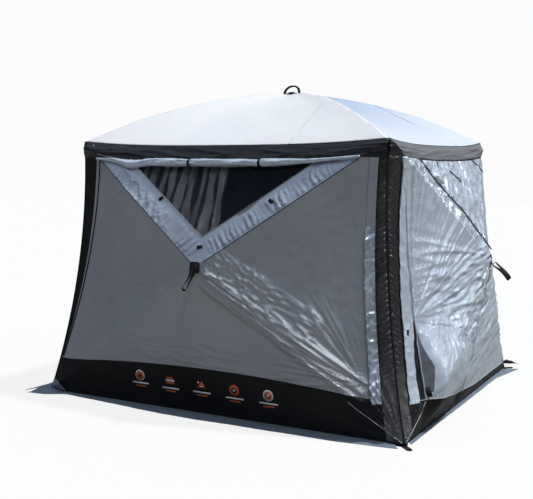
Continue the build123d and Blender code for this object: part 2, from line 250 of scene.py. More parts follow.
def within(x, start, full, fade, end):
    """Rises from start to full, and falls from fade to end."""
    return ramp(x, start, full) * (1 - ramp(x, fade, end))


def turned(u, v, angle):
    return u * cos(angle) + v * sin(angle), v * cos(angle) - u * sin(angle)


def line_frame(start, end):
    """A line's length, and a function to places along and across it."""
    (x0, y0), (x1, y1) = start, end
    angle = atan2(y1 - y0, x1 - x0)
    return hypot(x1 - x0, y1 - y0), lambda u, v: turned(u - x0, v - y0, angle)


def calm(height, seed):
    """The slow undulation of a taut panel."""
    return lambda u, v: height * (noise(u / 0.55 + 3.1, v / 0.48, seed)
                                  + 0.35 * noise(u / 0.17, v / 0.21 + 1.7, seed + 1))


def fan(centre, heading, spread, reach, count, height, seed, inner=0.06, sharp=1.6):
    """Folds that run out from a point, over spread to each side of a heading in degrees."""
    def field(u, v):
        du, dv = u - centre[0], v - centre[1]
        away = np.hypot(du, dv) / reach
        swing = (np.arctan2(dv, du) - radians(heading) + pi) % (2 * pi) - pi
        swing = swing / radians(spread)
        fold = ridged(swing * count, away * 1.3 + 5.0, seed, sharp)
        window = (1 - ramp(np.abs(swing), 0.75, 1.0)) * within(away, 0.0, inner, 0.6, 1.0)
        return height * fold * window * (0.45 + 0.55 * away)
    return field


def crumple(start, end, half_width, along, across, height, seed, lean=0.0, sharp=1.5):
    """Crumples in a straight band; along and across are their lengths in and across the band."""
    length, placed = line_frame(start, end)

    def field(u, v):
        a, b = placed(u, v)
        window = (1 - ramp(np.abs(b), 0.6 * half_width, half_width))
        window = window * within(a, -0.04, 0.03, length - 0.03, length + 0.04)
        wobble = 0.25 * noise(a / 0.11, b / 0.09, seed + 7)
        fold = ridged((a + lean * b) / along + wobble, b / across, seed, sharp)
        fine = ridged((a - lean * b) / (0.5 * along), b / (0.6 * across) + wobble, seed + 3, sharp)
        return height * (fold + 0.45 * fine) * window
    return field


def crease(start, end, width, height):
    """One pressed crease line; a negative height sinks it."""
    length, placed = line_frame(start, end)

    def field(u, v):
        a, b = placed(u, v)
        return height * np.exp(-(b / width) ** 2) * within(a, -0.02, 0.03, length - 0.03, length + 0.02)
    return field


def crinkled(length, height, seed, angle=0.0, stretch=1.0):
    """Irregular crinkles all over; stretch makes them longer along the angle."""
    def field(u, v):
        a, b = turned(u, v, radians(angle))
        bend = 0.5 * noise(a / 0.23, b / 0.19, seed + 5)
        big = ridged(a / (length * stretch) + bend, b / length, seed, 1.4)
        small = ridged(a / (0.45 * length * stretch), b / (0.45 * length) + bend, seed + 2, 1.4)
        patch = 0.55 + 0.45 * noise(u / 0.3, v / 0.26, seed + 9)
        return height * (big + 0.5 * small) * patch
    return field


def accordion(wall, side, width, pitch, height, seed, start=0.05, end=0.86):
    """Tight pleats across the band beside one upper pole, like cloth pushed along a sleeve."""
    length, placed = line_frame((0, 0), (side * wall.eave_half, wall.high))

    def field(u, v):
        a, b = placed(u, v)
        depth = side * b
        lean = 0.55 * noise(a / 0.21, a * 0, seed)
        place = a + lean * depth + 0.010 * noise(a / 0.05, depth / 0.05, seed + 1)
        pleat = np.abs((place / pitch + 0.25 * noise(a / 0.13, a * 0, seed + 2)) % 1.0 - 0.5) * 2
        strength = np.clip(0.45 + 0.75 * noise(a / 0.085, depth / 0.16, seed + 3), 0.05, 1.3)
        window = within(depth, 0.006, 0.03, 0.75 * width, width)
        window = window * within(a / length, start, start + 0.06, end - 0.08, end)
        return height * (1 - pleat ** 1.5) * strength * window
    return field


def column_folds(layout, side, height, seed):
    """Slanting crumples all down a black column, calm at its top and near the ground."""
    wall = layout.wall

    def field(u, v):
        depth = wall.half(v) - side * u
        edge = wall.half(v) - side * layout.column(side, v)
        mask = 1 - ramp(depth, edge - 0.030, edge - 0.003)
        mask = mask * ramp(v, -0.66, -0.42) * (1 - 0.8 * ramp(v, 0.50, 0.62))
        slant = v + 0.80 * depth + 0.010 * noise(v / 0.09, depth / 0.06, seed + 4)
        pleat = np.abs((slant / 0.036 + 0.5 * noise(v / 0.16, depth * 0, seed + 2)) % 1.0 - 0.5) * 2
        broken = np.clip(0.75 + 0.7 * noise(slant / 0.05, depth / 0.10, seed + 8), 0.15, 1.2)
        fine = ridged((v - 0.4 * depth) / 0.024, depth / 0.05, seed + 1, 1.3)
        return height * mask * ((1 - pleat ** 1.6) * broken + 0.20 * fine)
    return field


def over_window(wall, field, full):
    """Keeps a field to the top triangle."""
    def masked(u, v):
        rho, side, eave = wall.gauge(u, v)
        return field(u, v) * ramp(eave - side, *full)
    return masked


def held_flat(field, route, width, share):
    """A field that a sewn zip keeps nearly flat beside its route."""
    def masked(u, v):
        near = np.full_like(u, 9.0)
        for (x0, y0), (x1, y1) in zip(route[:-1], route[1:]):
            dx, dy = x1 - x0, y1 - y0
            t = np.clip(((u - x0) * dx + (v - y0) * dy) / (dx * dx + dy * dy), 0, 1)
            near = np.minimum(near, np.hypot(u - x0 - t * dx, v - y0 - t * dy))
        return field(u, v) * (1 - share * (1 - ramp(near, 0.004, width)))
    return masked


def total(wall, fields):
    """All the folds of a wall; they die out at its seams and under the valance."""
    def field(u, v):
        height = sum(one(u, v) for one in fields)
        height = height * ramp(wall.half(v) - np.abs(u), -0.001, 0.014) * ramp(v + wall.low, 0.0, 0.022)
        return height * (1 - ramp(v, TOP_LINE - 0.01, TOP_LINE + 0.03))
    return field


# ======== Faces of the shelter ========

SECTORS = {                # the two corners of each triangle of a wall, counter-clockwise
    "bottom": ((-1, -1), (1, -1)),
    "right": ((1, -1), (1, 1)),
    "top": ((1, 1), (-1, 1)),
    "left": ((-1, 1), (-1, -1)),
}
GORES = dict(zip(("front", "right", "back", "left"), SECTORS.values()))


def unit(vector):
    return vector / np.linalg.norm(vector)


def joint_point(name):
    return np.array(JOINTS[name]["pos_m"], float)


class Wall:
    """One wall: its flat cloth coordinates and the shape that its hub and corners give the cloth."""

    def __init__(self, name):
        self.name = name
        low_left, low_right, high_right, high_left = [joint_point(f"{name}_cloth_{side}_swing") for side in SECTORS]
        self.across = unit(low_right - low_left)
        base, eave = (low_left + low_right) / 2, (high_left + high_right) / 2
        self.normal = unit(np.cross(self.across, eave - base))
        self.up = np.cross(self.normal, self.across)
        self.height = np.linalg.norm(eave - base)
        pins = [joint_point(f"{name}_pole_{end}_right_turn") - base for end in ("lower", "upper")]
        (x0, y0), (x1, y1) = [(pin @ self.across, pin @ self.up) for pin in pins]
        self.low = y0 + (y1 - y0) * x0 / (x0 + x1)
        self.high = self.height - self.low
        self.origin = base + self.up * self.low
        self.base_half = np.linalg.norm(low_right - low_left) / 2
        self.eave_half = np.linalg.norm(high_right - high_left) / 2
        self.taper = (self.eave_half - self.base_half) / self.height
        self.waist = self.base_half + self.taper * self.low
        self.pop = JOINTS[f"{name}_hub_push"]["range_m"][1] / 2
        self.bows = [np.array(CORNER_BOWS[tuple(np.sign(p[:2]).astype(int))]) for p in (low_left, low_right)]

    def half(self, v):
        """Half-width of the flat wall at v."""
        return self.waist + self.taper * v

    def gauge(self, u, v):
        """0 at the hub and 1 on the seams, and the same for the side seams alone and the eave alone."""
        side = (np.abs(u) - self.taper * v) / self.waist
        eave = v / self.high
        return np.maximum.reduce([side, eave, -v / self.low, np.full_like(u, 1e-6)]), side, eave

    def point(self, u, v, lift=0.0):
        u, v = np.asarray(u, float), np.asarray(v, float)
        rho, side, eave = self.gauge(u, v)
        out = self.pop * (1 - rho) + lift
        points = self.origin + u[:, None] * self.across + v[:, None] * self.up + out[:, None] * self.normal
        share = np.clip((v / rho + self.low) / self.height, 0, 1)
        pull = np.where(side >= rho - 1e-9, 4 * share * (1 - share) * rho, 0.0)
        points = points + pull[:, None] * np.where((u > 0)[:, None], self.bows[1], self.bows[0])
        run = np.clip(np.abs(u / rho) / self.eave_half, 0, 1)
        points[:, 2] -= np.where(eave >= rho - 1e-9, EAVE_SAG * (1 - run ** 3) * rho, 0.0)
        return points

    def corner(self, horizontal, vertical):
        """Flat corner: horizontal -1 or 1, vertical -1 at the ground or 1 at the eave."""
        return (horizontal * self.base_half, -self.low) if vertical < 0 else (horizontal * self.eave_half, self.high)

    def diagonal(self, horizontal, vertical, share):
        """A point on a pole's line, share of the way from the hub to that corner."""
        u, v = self.corner(horizontal, vertical)
        return (u * share, v * share)

    def sector(self, name):
        """A triangle from the hub to one seam."""
        return [(0.0, 0.0), *[self.corner(*end) for end in SECTORS[name]]]

    def sector_at(self, u, v):
        rho, side, eave = [part[0] for part in self.gauge(np.array([u]), np.array([v]))]
        if side >= rho - 1e-9:
            return "right" if u > 0 else "left"
        return "top" if eave >= rho - 1e-9 else "bottom"

    def swing(self, piece, sector):
        """The piece follows the frame at the seam, and its cloth beyond the blend."""
        slope = np.array({"bottom": (0.0, -1 / self.low), "top": (0.0, 1 / self.high),
                          "right": (1 / self.waist, -self.taper / self.waist),
                          "left": (-1 / self.waist, -self.taper / self.waist)}[sector])
        u, v = slope / (slope @ slope)
        start, end = [tuple(self.origin + share * (u * self.across + v * self.up)) for share in BLEND_SHARES]
        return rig.blend(piece, "shell_base", f"{self.name}_cloth_{sector}", start=start, end=end)


class Roof:
    """The roof: x and y are its flat coordinates."""

    def __init__(self):
        corner = np.abs(joint_point("roof_cloth_front_swing"))
        self.half_x, self.half_y, self.eave_z = corner
        self.pop = JOINTS["roof_hub_push"]["range_m"][1] / 2

    def point(self, u, v, lift=0.0):
        along_x, along_y = np.abs(u) / self.half_x, np.abs(v) / self.half_y
        rho = np.maximum(np.maximum(along_x, along_y), 1e-6)
        run = np.minimum(along_x, along_y) / rho
        rise = DOME_BETWEEN + (1 - DOME_BETWEEN) * run ** 2
        z = self.eave_z + self.pop * (1 - rho) + 4 * ROOF_DOME * rise * rho * (1 - rho)
        z = z - EAVE_SAG * (1 - run ** 3) * rho ** 2 + lift
        return np.stack([u, v, z], 1)

    def gore(self, name):
        """A gore's outline, its direction outward, its reach and half its width."""
        ends = np.array(GORES[name])
        out = ends.sum(0) // 2
        reach, wide = (self.half_y, self.half_x) if out[0] == 0 else (self.half_x, self.half_y)
        return [(0.0, 0.0), *[tuple(end) for end in ends * (self.half_x, self.half_y)]], out, reach, wide

    def swing(self, piece, name):
        out, reach = self.gore(name)[1:3]
        x, y = out * reach
        z = self.point(np.zeros(1), np.zeros(1))[0][2]
        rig.blend(piece, "shell_base", "roof_hub", start=(x, y, z), end=(-0.05 * x, -0.05 * y, z))


# ======== Mesh building ========

def cut(outline, x, y, nx, ny):
    """The part of a convex outline behind the line through (x, y) with outward direction (nx, ny)."""
    kept = []
    for i, (ax, ay) in enumerate(outline):
        bx, by = outline[(i + 1) % len(outline)]
        a, b = (ax - x) * nx + (ay - y) * ny, (bx - x) * nx + (by - y) * ny
        if a <= 1e-9:
            kept.append((ax, ay))
        if (a < -1e-9 and b > 1e-9) or (a > 1e-9 and b < -1e-9):
            t = a / (a - b)
            kept.append((ax + (bx - ax) * t, ay + (by - ay) * t))
    return kept


def edges(outline):
    return zip(outline, [*outline[1:], *outline[:1]])


def clipped(outline, window):
    """The part of a convex outline inside a convex, counter-clockwise window."""
    for (ax, ay), (bx, by) in edges(window):
        outline = cut(outline, ax, ay, by - ay, ax - bx)
    return outline


def outline_area(outline):
    return sum((ax * by - bx * ay) / 2 for (ax, ay), (bx, by) in edges(outline))


def flat_grid(outline, step, lines=()):
    """Points and faces of a square grid cut to a convex outline, with edges along the lines (point, point)."""
    corners = np.array(outline)
    low, high = corners.min(0), corners.max(0)
    counts = np.maximum(np.ceil((high - low) / step).astype(int), 1)
    bm = bmesh.new()
    bmesh.ops.create_grid(bm, x_segments=int(counts[0]), y_segments=int(counts[1]), size=0.5)
    middle, size = (low + high) / 2, high - low
    for vert in bm.verts:
        vert.co = (middle[0] + vert.co.x * size[0], middle[1] + vert.co.y * size[1], 0)
    for ends, outer in [(ends, True) for ends in edges(outline)] + [(ends, False) for ends in lines]:
        (ax, ay), (bx, by) = ends
        geometry = bm.verts[:] + bm.edges[:] + bm.faces[:]
        bmesh.ops.bisect_plane(bm, geom=geometry, dist=1e-6, plane_co=(ax, ay, 0),
                               plane_no=(by - ay, ax - bx, 0), clear_outer=outer)
    bmesh.ops.remove_doubles(bm, verts=bm.verts[:], dist=step * 0.05)
    bm.verts.index_update()
    points = np.array([vert.co[:2] for vert in bm.verts])
    faces = [[vert.index for vert in face.verts] for face in bm.faces]
    bm.free()
    return points, faces


def share_grid(rows, columns, flipped=False):
    """Shares t and s, 0 to 1, of the points of a grid row by row, and its faces."""
    t, s = [part.ravel() for part in np.meshgrid(np.linspace(0, 1, rows + 1), np.linspace(0, 1, columns + 1),
                                                 indexing="ij")]
    firsts = [j * (columns + 1) + i for j in range(rows) for i in range(columns)]
    if flipped:
        return t, s, [[k, k + columns + 1, k + columns + 2, k + 1] for k in firsts]
    return t, s, [[k, k + 1, k + columns + 2, k + columns + 1] for k in firsts]


def make_object(name, points, faces, materials, face_slots=None, uvs=None, smooth=True):
    mesh = bpy.data.meshes.new(name)
    mesh.from_pydata([tuple(map(float, p)) for p in points], [], faces)
    for material in materials:
        mesh.materials.append(material)
    if face_slots is not None:
        mesh.polygons.foreach_set("material_index", face_slots)
    if smooth:
        mesh.polygons.foreach_set("use_smooth", [True] * len(mesh.polygons))
    if uvs is not None:
        layer = mesh.uv_layers.new(name="cloth")
        loops = np.zeros(len(mesh.loops), np.int32)
        mesh.loops.foreach_get("vertex_index", loops)
        layer.data.foreach_set("uv", np.asarray(uvs, np.float32)[loops].ravel())
    mesh.update()
    piece = bpy.data.objects.new(name, mesh)
    bpy.context.scene.collection.objects.link(piece)
    return piece


def thicken(piece, thickness=CLOTH_THICK, lining_slot=0, offset=-1.0):
    """Gives a sheet its thickness, inward; lining_slot is the material of its inner side."""
    solid = piece.modifiers.new("thickness", "SOLIDIFY")
    solid.thickness, solid.offset, solid.material_offset = thickness, offset, lining_slot


def stand_in(piece, node, slot):
    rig.replaces(piece, node)
    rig.slot(piece, slot)


def declare(piece, flat, held, on="edge_tape_cover", area=None, digits=3):
    """Declares a sheet: its flat size, and the area that is cut from that rectangle."""
    cut_area = {} if area is None else {"area": round(float(area), digits)}
    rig.sheet(piece, flat=tuple(round(float(side), 3) for side in flat), held=held, rests_on=[on], **cut_area)


def lay(name, face, fold, outline, step, materials, lines=(), region=None, warp=None):
    """A sheet cut flat and laid on a wall or the roof; region(u, v) is a part's material slot, None a hole."""
    points, faces = flat_grid(outline, step, lines)
    slots = [region(*points[corners].mean(0)) if region else 0 for corners in faces]
    faces = [corners for corners, slot in zip(faces, slots) if slot is not None]
    slots = [slot for slot in slots if slot is not None]
    u, v = points[:, 0], points[:, 1]
    if warp:
        u, v = warp(u, v)
    used = np.zeros(len(points), bool)
    used[[k for corners in faces for k in corners]] = True
    number = np.cumsum(used) - 1
    faces = [[int(number[k]) for k in corners] for corners in faces]
    return make_object(name, face.point(u, v, fold(u, v))[used], faces, materials, slots, np.stack([u, v], 1)[used])


def run_along(path):
    return np.concatenate([[0], np.cumsum(np.linalg.norm(np.diff(path, axis=0), axis=1))])


def directions(vectors):
    return vectors / np.linalg.norm(vectors, axis=1)[:, None]


def loft(name, points, sides, material, uvs, closed=False, inward=False):
    """The skin over rings of points, sides to a ring; open ends get caps."""
    count, faces = len(points) // sides, []
    for i in range(count if closed else count - 1):
        a, b = i * sides, (i + 1) % count * sides
        for k in range(sides):
            n = (k + 1) % sides
            faces.append([a + k, b + k, b + n, a + n] if inward else [a + k, a + n, b + n, b + k])
    if not closed:
        first, last = list(range(sides)), list(range(len(points) - sides, len(points)))
        faces += [first, last[::-1]] if inward else [first[::-1], last]
    return make_object(name, points, faces, [material], uvs=uvs)


def tube(name, path, radius, material, sides=6):
    """A round cord along a path of points."""
    path = np.asarray(path, float)
    tangents = directions(np.gradient(path, axis=0))
    side = np.cross(tangents[0], (0.31, 0.17, 0.93))
    turns = 2 * pi * np.arange(sides) / sides
    points, uvs = [], []
    for centre, tangent, run in zip(path, tangents, run_along(path)):
        side = unit(side - tangent * (side @ tangent))
        other = np.cross(tangent, side)
        points += list(centre + radius * (np.cos(turns)[:, None] * side + np.sin(turns)[:, None] * other))
        uvs += [(run, turn * radius) for turn in turns]
    return loft(name, points, sides, material, uvs)


def ribbon(name, path, across, width, thickness, material, closed=False):
    """Webbing along a path; across is the direction of its width."""
    path = np.asarray(path, float)
    across = unit(np.asarray(across, float))
    ahead = np.roll(path, -1, 0) - np.roll(path, 1, 0) if closed else np.gradient(path, axis=0)
    outward = directions(np.cross(directions(ahead), across))
    edge = thickness * 0.32
    profile = [(-1, -edge), (-1, edge), (-0.92, thickness / 2), (-0.5, thickness * 0.44), (0, thickness / 2),
               (0.5, thickness * 0.44), (0.92, thickness / 2), (1, edge), (1, -edge), (0.92, -thickness / 2),
               (0, -thickness / 2), (-0.92, -thickness / 2)]
    points, uvs = [], []
    for centre, out, run in zip(path, outward, run_along(path)):
        points += [centre + across * (side * width / 2) + out * height for side, height in profile]
        uvs += [(side * width / 2, run) for side, height in profile]
    return loft(name, points, len(profile), material, uvs, closed, inward=True)


# ======== Materials ========

def add_node(tree, kind, **values):
    """A node; the values are its own properties, or its inputs, as numbers to set or sockets to link."""
    made = tree.nodes.new("ShaderNode" + kind)
    for key, value in values.items():
        if key not in made.inputs:
            setattr(made, key, value)
        elif isinstance(value, bpy.types.NodeSocket):
            tree.links.new(value, made.inputs[key])
        else:
            made.inputs[key].default_value = value
    return made


class Paint:
    """A node material around one Principled shader."""

    def __init__(self, name, colour, roughness, metallic=0.0, specular=0.5, sheen=0.0):
        self.material = bpy.data.materials.new(name)
        self.material.use_nodes = True
        self.tree = self.material.node_tree
        self.shader = self.tree.nodes["Principled BSDF"]
        for socket, value in (("Base Color", (*colour, 1)), ("Roughness", roughness), ("Metallic", metallic),
                              ("Specular IOR Level", specular), ("Sheen Weight", sheen)):
            self.shader.inputs[socket].default_value = value
        self.relief = {}

    def node(self, kind, output, **values):
        return add_node(self.tree, kind, **values).outputs[output]

    def place(self, scale=(1, 1, 1), turn=0.0, cloth=True):
        """Texture place in metres: the cloth's own u and v, or the object's x, y and z."""
        source = self.node("UVMap", "UV", uv_map="cloth") if cloth else self.node("TexCoord", "Object")
        return self.node("Mapping", "Vector", Vector=source, Scale=scale, Rotation=(0, 0, turn))

    def noise(self, place, scale, detail=3.0, rough=0.55):
        return self.node("TexNoise", "Fac", Vector=place, Scale=scale, Detail=detail, Roughness=rough)

    def wave(self, place, scale, direction):
        return self.node("TexWave", "Fac", Vector=place, Scale=scale, bands_direction=direction)

    def between(self, factor, low, high, start=0.0, end=1.0):
        """Maps start..end of a factor to low..high."""
        return self.node("MapRange", "Result", Value=factor, **{"From Min": start, "From Max": end, "To Min": low,
                                                                "To Max": high})

    def colours(self, factor, first, second, start=0.3, end=0.7):
        made = add_node(self.tree, "ValToRGB", Fac=factor)
        for stop, place, colour in zip(made.color_ramp.elements, (start, end), (first, second)):
            stop.position, stop.color = place, (*colour, 1)
        return made.outputs["Color"]

    def blend(self, factor, first, second, mode="MIX"):
        return self.node("Mix", "Result", data_type="RGBA", blend_type=mode, Factor=factor, A=first, B=second)

    def feed(self, socket, source):
        self.tree.links.new(source, self.shader.inputs[socket])

    def bump(self, source, distance, strength=1.0):
        """Adds one layer of relief, distance deep in metres."""
        layer = self.node("Bump", "Normal", Height=source, Distance=distance, Strength=strength, **self.relief)
        self.relief = {"Normal": layer}
        self.feed("Normal", layer)

    def woven(self):
        """Adds the relief of the threads and gives the finished material."""
        place = self.place()
        for direction in ("X", "Y"):
            self.bump(self.wave(place, THREAD_WAVES, direction), 0.00025, 0.35)
        return self.material


THREAD_WAVES = 21.0 * 2 * pi / 6.28     # wave scale of 420 threads per metre


def silver_cloth(name, light, dark, roughness=0.42, metallic=0.35, crumple_depth=0.0011, stain=0.6, fade=None):
    """Silver-coated polyester: cloudy coating and crush lines; fade is where a painted sky reflection takes it from
    dark to light.
    """
    paint = Paint(name, light, roughness, metallic, 0.45, 0.08)
    place = paint.place()
    fine = paint.noise(paint.place((1.0, 2.3, 1.0), 0.6), 12.0, 3.0, 0.5)
    # painted reflection: given fade, the colour runs from dark to light along the cloth's u, not at random
    if fade:
        share = paint.between(paint.node("SeparateXYZ", "X", Vector=place), 0.0, 1.0, *fade)
        base = paint.colours(share, dark, light, 0.0, 1.0)
    else:
        base = paint.colours(paint.noise(place, 1.6, 4.0), dark, light, 0.28, 0.62)
    worn = paint.colours(fine, (stain, stain, stain), (1, 1, 1), 0.25, 0.65)
    paint.feed("Base Color", paint.blend(0.25, base, worn, "MULTIPLY"))
    paint.feed("Roughness", paint.between(fine, roughness - 0.09, roughness + 0.13, 0.3, 0.7))
    paint.bump(paint.noise(paint.place((1.0, 2.8, 1.0), 0.9), 11.0, 1.0, 0.4), crumple_depth, 0.6)
    paint.bump(paint.noise(paint.place((3.0, 1.0, 1.0), -0.5), 17.0, 1.0, 0.4), crumple_depth * 0.5, 0.5)
    return paint.woven()


def black_cloth(name, colour, lighter, roughness=0.46, painted_light_low=None, gloss=0.5):
    """Dark coated polyester with a slight gloss; a pair of heights along the cloth may be given, over which a painted
    sunlit grey fades out upwards.
    """
    paint = Paint(name, colour, roughness, 0.0, gloss)
    place = paint.place()
    shade = paint.colours(paint.noise(place, 3.0, 4.0), colour, lighter, 0.35, 0.75)
    # painted light: a lighter grey low on the cloth, fading out upwards, for the sun on the lower columns
    if painted_light_low:
        painted_light_share = paint.between(paint.node("SeparateXYZ", "Y", Vector=place), 1.0, 0.0, *painted_light_low)
        grey = paint.colours(paint.noise(place, 17.0, 5.0), lighter, [4.0 * c for c in lighter])
        shade = paint.blend(painted_light_share, shade, grey)
    paint.feed("Base Color", shade)
    paint.feed("Roughness", paint.between(paint.noise(place, 26.0, 4.0), roughness - 0.10, roughness + 0.14, 0.3, 0.7))
    paint.bump(paint.noise(paint.place((1.0, 2.2, 1.0), 0.7), 45.0, 5.0, 0.6), 0.0008, 0.5)
    return paint.woven()


def curtain_material():
    """Thin grey curtain; the sides of its gathers are in shade."""
    paint = Paint("curtain_cloth", (0.7, 0.7, 0.72), 0.6, 0.0, 0.4)
    place = paint.place()
    shade = paint.colours(paint.wave(place, 4.2, "X"), (0.07, 0.075, 0.09), (0.86, 0.86, 0.88), 0.10, 0.50)
    cloudy = paint.colours(paint.noise(place, 5.0), (0.55, 0.55, 0.57), (1, 1, 1), 0.3, 0.6)
    paint.feed("Base Color", paint.blend(1.0, shade, cloudy, "MULTIPLY"))
    paint.bump(paint.noise(place, 14.0), 0.0010, 0.5)
    return paint.woven()


def webbing_material():
    paint = Paint("webbing", (0.006, 0.006, 0.007), 0.7, 0.0, 0.2)
    ribs = paint.wave(paint.place(), 26.0, "Y")
    paint.feed("Base Color", paint.colours(ribs, (0.003, 0.003, 0.004), (0.010, 0.010, 0.011), 0.2, 0.9))
    paint.bump(ribs, 0.0005, 0.8)
    paint.bump(paint.wave(paint.place(turn=0.5), 34.0, "X"), 0.0003, 0.5)
    return paint.material


def plastic_material(name, colour, roughness=0.38):
    """Moulded nylon: fine spark texture and slightly uneven gloss."""
    paint = Paint(name, colour, roughness)
    place = paint.place(cloth=False)
    patches = paint.noise(place, 14.0)
    paint.feed("Base Color", paint.colours(patches, colour, [1.8 * c + 0.004 for c in colour], 0.35, 0.8))
    paint.feed("Roughness", paint.between(patches, roughness - 0.06, roughness + 0.14))
    paint.bump(paint.noise(place, 900.0, 2.0), 0.0002, 0.5)
    return paint.material


def pole_material():
    """Pultruded fibreglass: faint lengthwise fibres under a clear coat."""
    paint = Paint("pole_fibreglass", (0.10, 0.105, 0.11), 0.34)
    fibres = paint.noise(paint.place((9.0, 9.0, 1.0), cloth=False), 60.0, 4.0)
    paint.feed("Base Color", paint.colours(fibres, (0.055, 0.058, 0.062), (0.16, 0.165, 0.17)))
    paint.feed("Roughness", paint.between(paint.noise(paint.place(cloth=False), 30.0), 0.26, 0.44))
    paint.bump(fibres, 0.0002, 0.5)
    return paint.material


def steel_material():
    colour = (0.56, 0.57, 0.58)
    paint = Paint("pin_steel", colour, 0.28, 1.0)
    scratches = paint.noise(paint.place((1.0, 14.0, 14.0), cloth=False), 120.0)
    paint.feed("Base Color", paint.colours(scratches, [0.75 * c for c in colour], colour, 0.3, 0.6))
    paint.feed("Roughness", paint.between(scratches, 0.2, 0.42))
    paint.bump(paint.noise(paint.place(cloth=False), 400.0), 0.00005, 0.5)
    return paint.material


def mesh_material():
    """Insect mesh: a fine black net that lets about half of the view through."""
    paint = Paint("window_net", (0.010, 0.014, 0.026), 0.7, 0.0, 0.3)
    place = paint.place()
    threads = add_node(paint.tree, "Math", operation="MAXIMUM")
    for direction, socket in zip(("X", "Y"), threads.inputs):
        paint.tree.links.new(paint.wave(place, 60.0, direction), socket)
    paint.feed("Alpha", paint.between(threads.outputs[0], 0.14, 0.48, 0.55, 0.95))
    paint.feed("Base Color", paint.colours(paint.noise(place, 2.2), (0.006, 0.010, 0.022), (0.014, 0.020, 0.036)))
    paint.bump(threads.outputs[0], 0.0003, 0.6)
    return paint.material


def print_material(name, colour):
    """Screen print on the cloth, with the weave showing through."""
    paint = Paint(name, colour, 0.6, 0.0, 0.3)
    place = paint.place(cloth=False)
    paint.feed("Base Color", paint.colours(paint.noise(place, 90.0, 4.0), [0.6 * c for c in colour], colour,
                                           0.25, 0.5))
    paint.bump(paint.noise(place, 500.0), 0.0002, 0.5)
    return paint.material


SILVER = silver_cloth("silver_cloth_wall", (0.66, 0.76, 0.86), (0.52, 0.61, 0.71), 0.33, 0.30, 0.0008, 0.85)
# painted shade: a darker copy of the wall silver, for the front and its upper storm strip, which face away from the
# sun
SILVER_PAINTED_SHADE = silver_cloth("silver_cloth_shade", (0.46, 0.485, 0.52), (0.39, 0.415, 0.45), 0.38, 0.35, 0.0003, 0.9)
# painted shade: a dark silver for the shade in the fold where the side door's edge turns in
SILVER_PAINTED_FOLD_SHADE = silver_cloth("silver_cloth_underside", (0.22, 0.245, 0.28), (0.10, 0.115, 0.135), 0.36, 0.45,
                            0.0030, 0.8)
# painted shade: a copy of the wall silver darkened for the front's shaded top and lower storm strip, lighter than the
# front's other painted shade
SILVER_PAINTED_HALF_SHADE = silver_cloth("silver_cloth_arm", (0.57, 0.64, 0.72), (0.40, 0.46, 0.54), 0.23, 0.58, 0.0016, 0.8)
# painted light: a lighter copy of the wall silver, for the tops of the walls, the window roll and the door's edge
SILVER_PAINTED_LIGHT = silver_cloth("silver_cloth_crushed", (0.76, 0.86, 0.96), (0.60, 0.70, 0.80), 0.26, 0.45, 0.0008,
                             0.85)
# painted light: the roof's silver is lighter than the walls' to stand in for the sun on it
SILVER_ROOF = silver_cloth("silver_cloth_roof", (0.90, 0.905, 0.915), (0.83, 0.84, 0.86), 0.5, 0.08, 0.0005, 0.93)
# painted reflection and shade: the right gore's silver is bluer and darker near the hub and lighter towards its eave
SILVER_ROOF_PAINTED_REFLECTION = silver_cloth("silver_cloth_roof_side", (0.72, 0.79, 0.88), (0.37, 0.47, 0.64), 0.5, 0.08, 0.0005, 0.95,
                          (0.15, 1.0))
FLAP = silver_cloth("flap_cloth", (0.19, 0.24, 0.31), (0.14, 0.18, 0.24), 0.50, 0.15, 0.0012, 0.7)
PIPING = silver_cloth("piping_cloth", (0.42, 0.43, 0.45), (0.32, 0.33, 0.35), 0.5, 0.2, 0.0003)
BLACK = black_cloth("black_cloth", (0.0040, 0.0045, 0.0058), (0.008, 0.009, 0.011), 0.40, gloss=0.30)
# painted highlight: the columns' lighter tone, partly random, is raised to stand in for the lit crests of their folds;
# low down a painted sunlit grey covers them
BLACK_COLUMN = black_cloth("black_cloth_column", (0.0080, 0.0084, 0.0095), (0.030, 0.0300, 0.030), 0.22,
                           painted_light_low=(-0.66, -0.40), gloss=1.0)
BLACK_GLOSS = black_cloth("black_cloth_valance", (0.0035, 0.0040, 0.0055), (0.007, 0.008, 0.010), 0.24, gloss=0.7)
# painted sheen: a grey for the right valance, which is the same black cloth catching the sun
BLACK_PAINTED_SHEEN = black_cloth("grey_cloth_skirt", (0.17, 0.175, 0.19), (0.21, 0.215, 0.23), 0.5)
LINING = black_cloth("navy_lining", (0.012, 0.018, 0.032), (0.020, 0.028, 0.045), 0.6)
CURTAIN = curtain_material()
WEBBING = webbing_material()
PLASTIC = plastic_material("black_nylon", (0.010, 0.010, 0.011))
ZIP_METAL = plastic_material("zip_slider_black", (0.012, 0.012, 0.014), 0.3)
POLE = pole_material()
STEEL = steel_material()
NET = mesh_material()
PRINT_RED = print_material("print_orange", (0.62, 0.12, 0.055))
PRINT_WHITE = print_material("print_white", (0.85, 0.85, 0.83))
PRINT_BLACK = print_material("print_black", (0.010, 0.010, 0.012))


# ======== Walls and roof ========

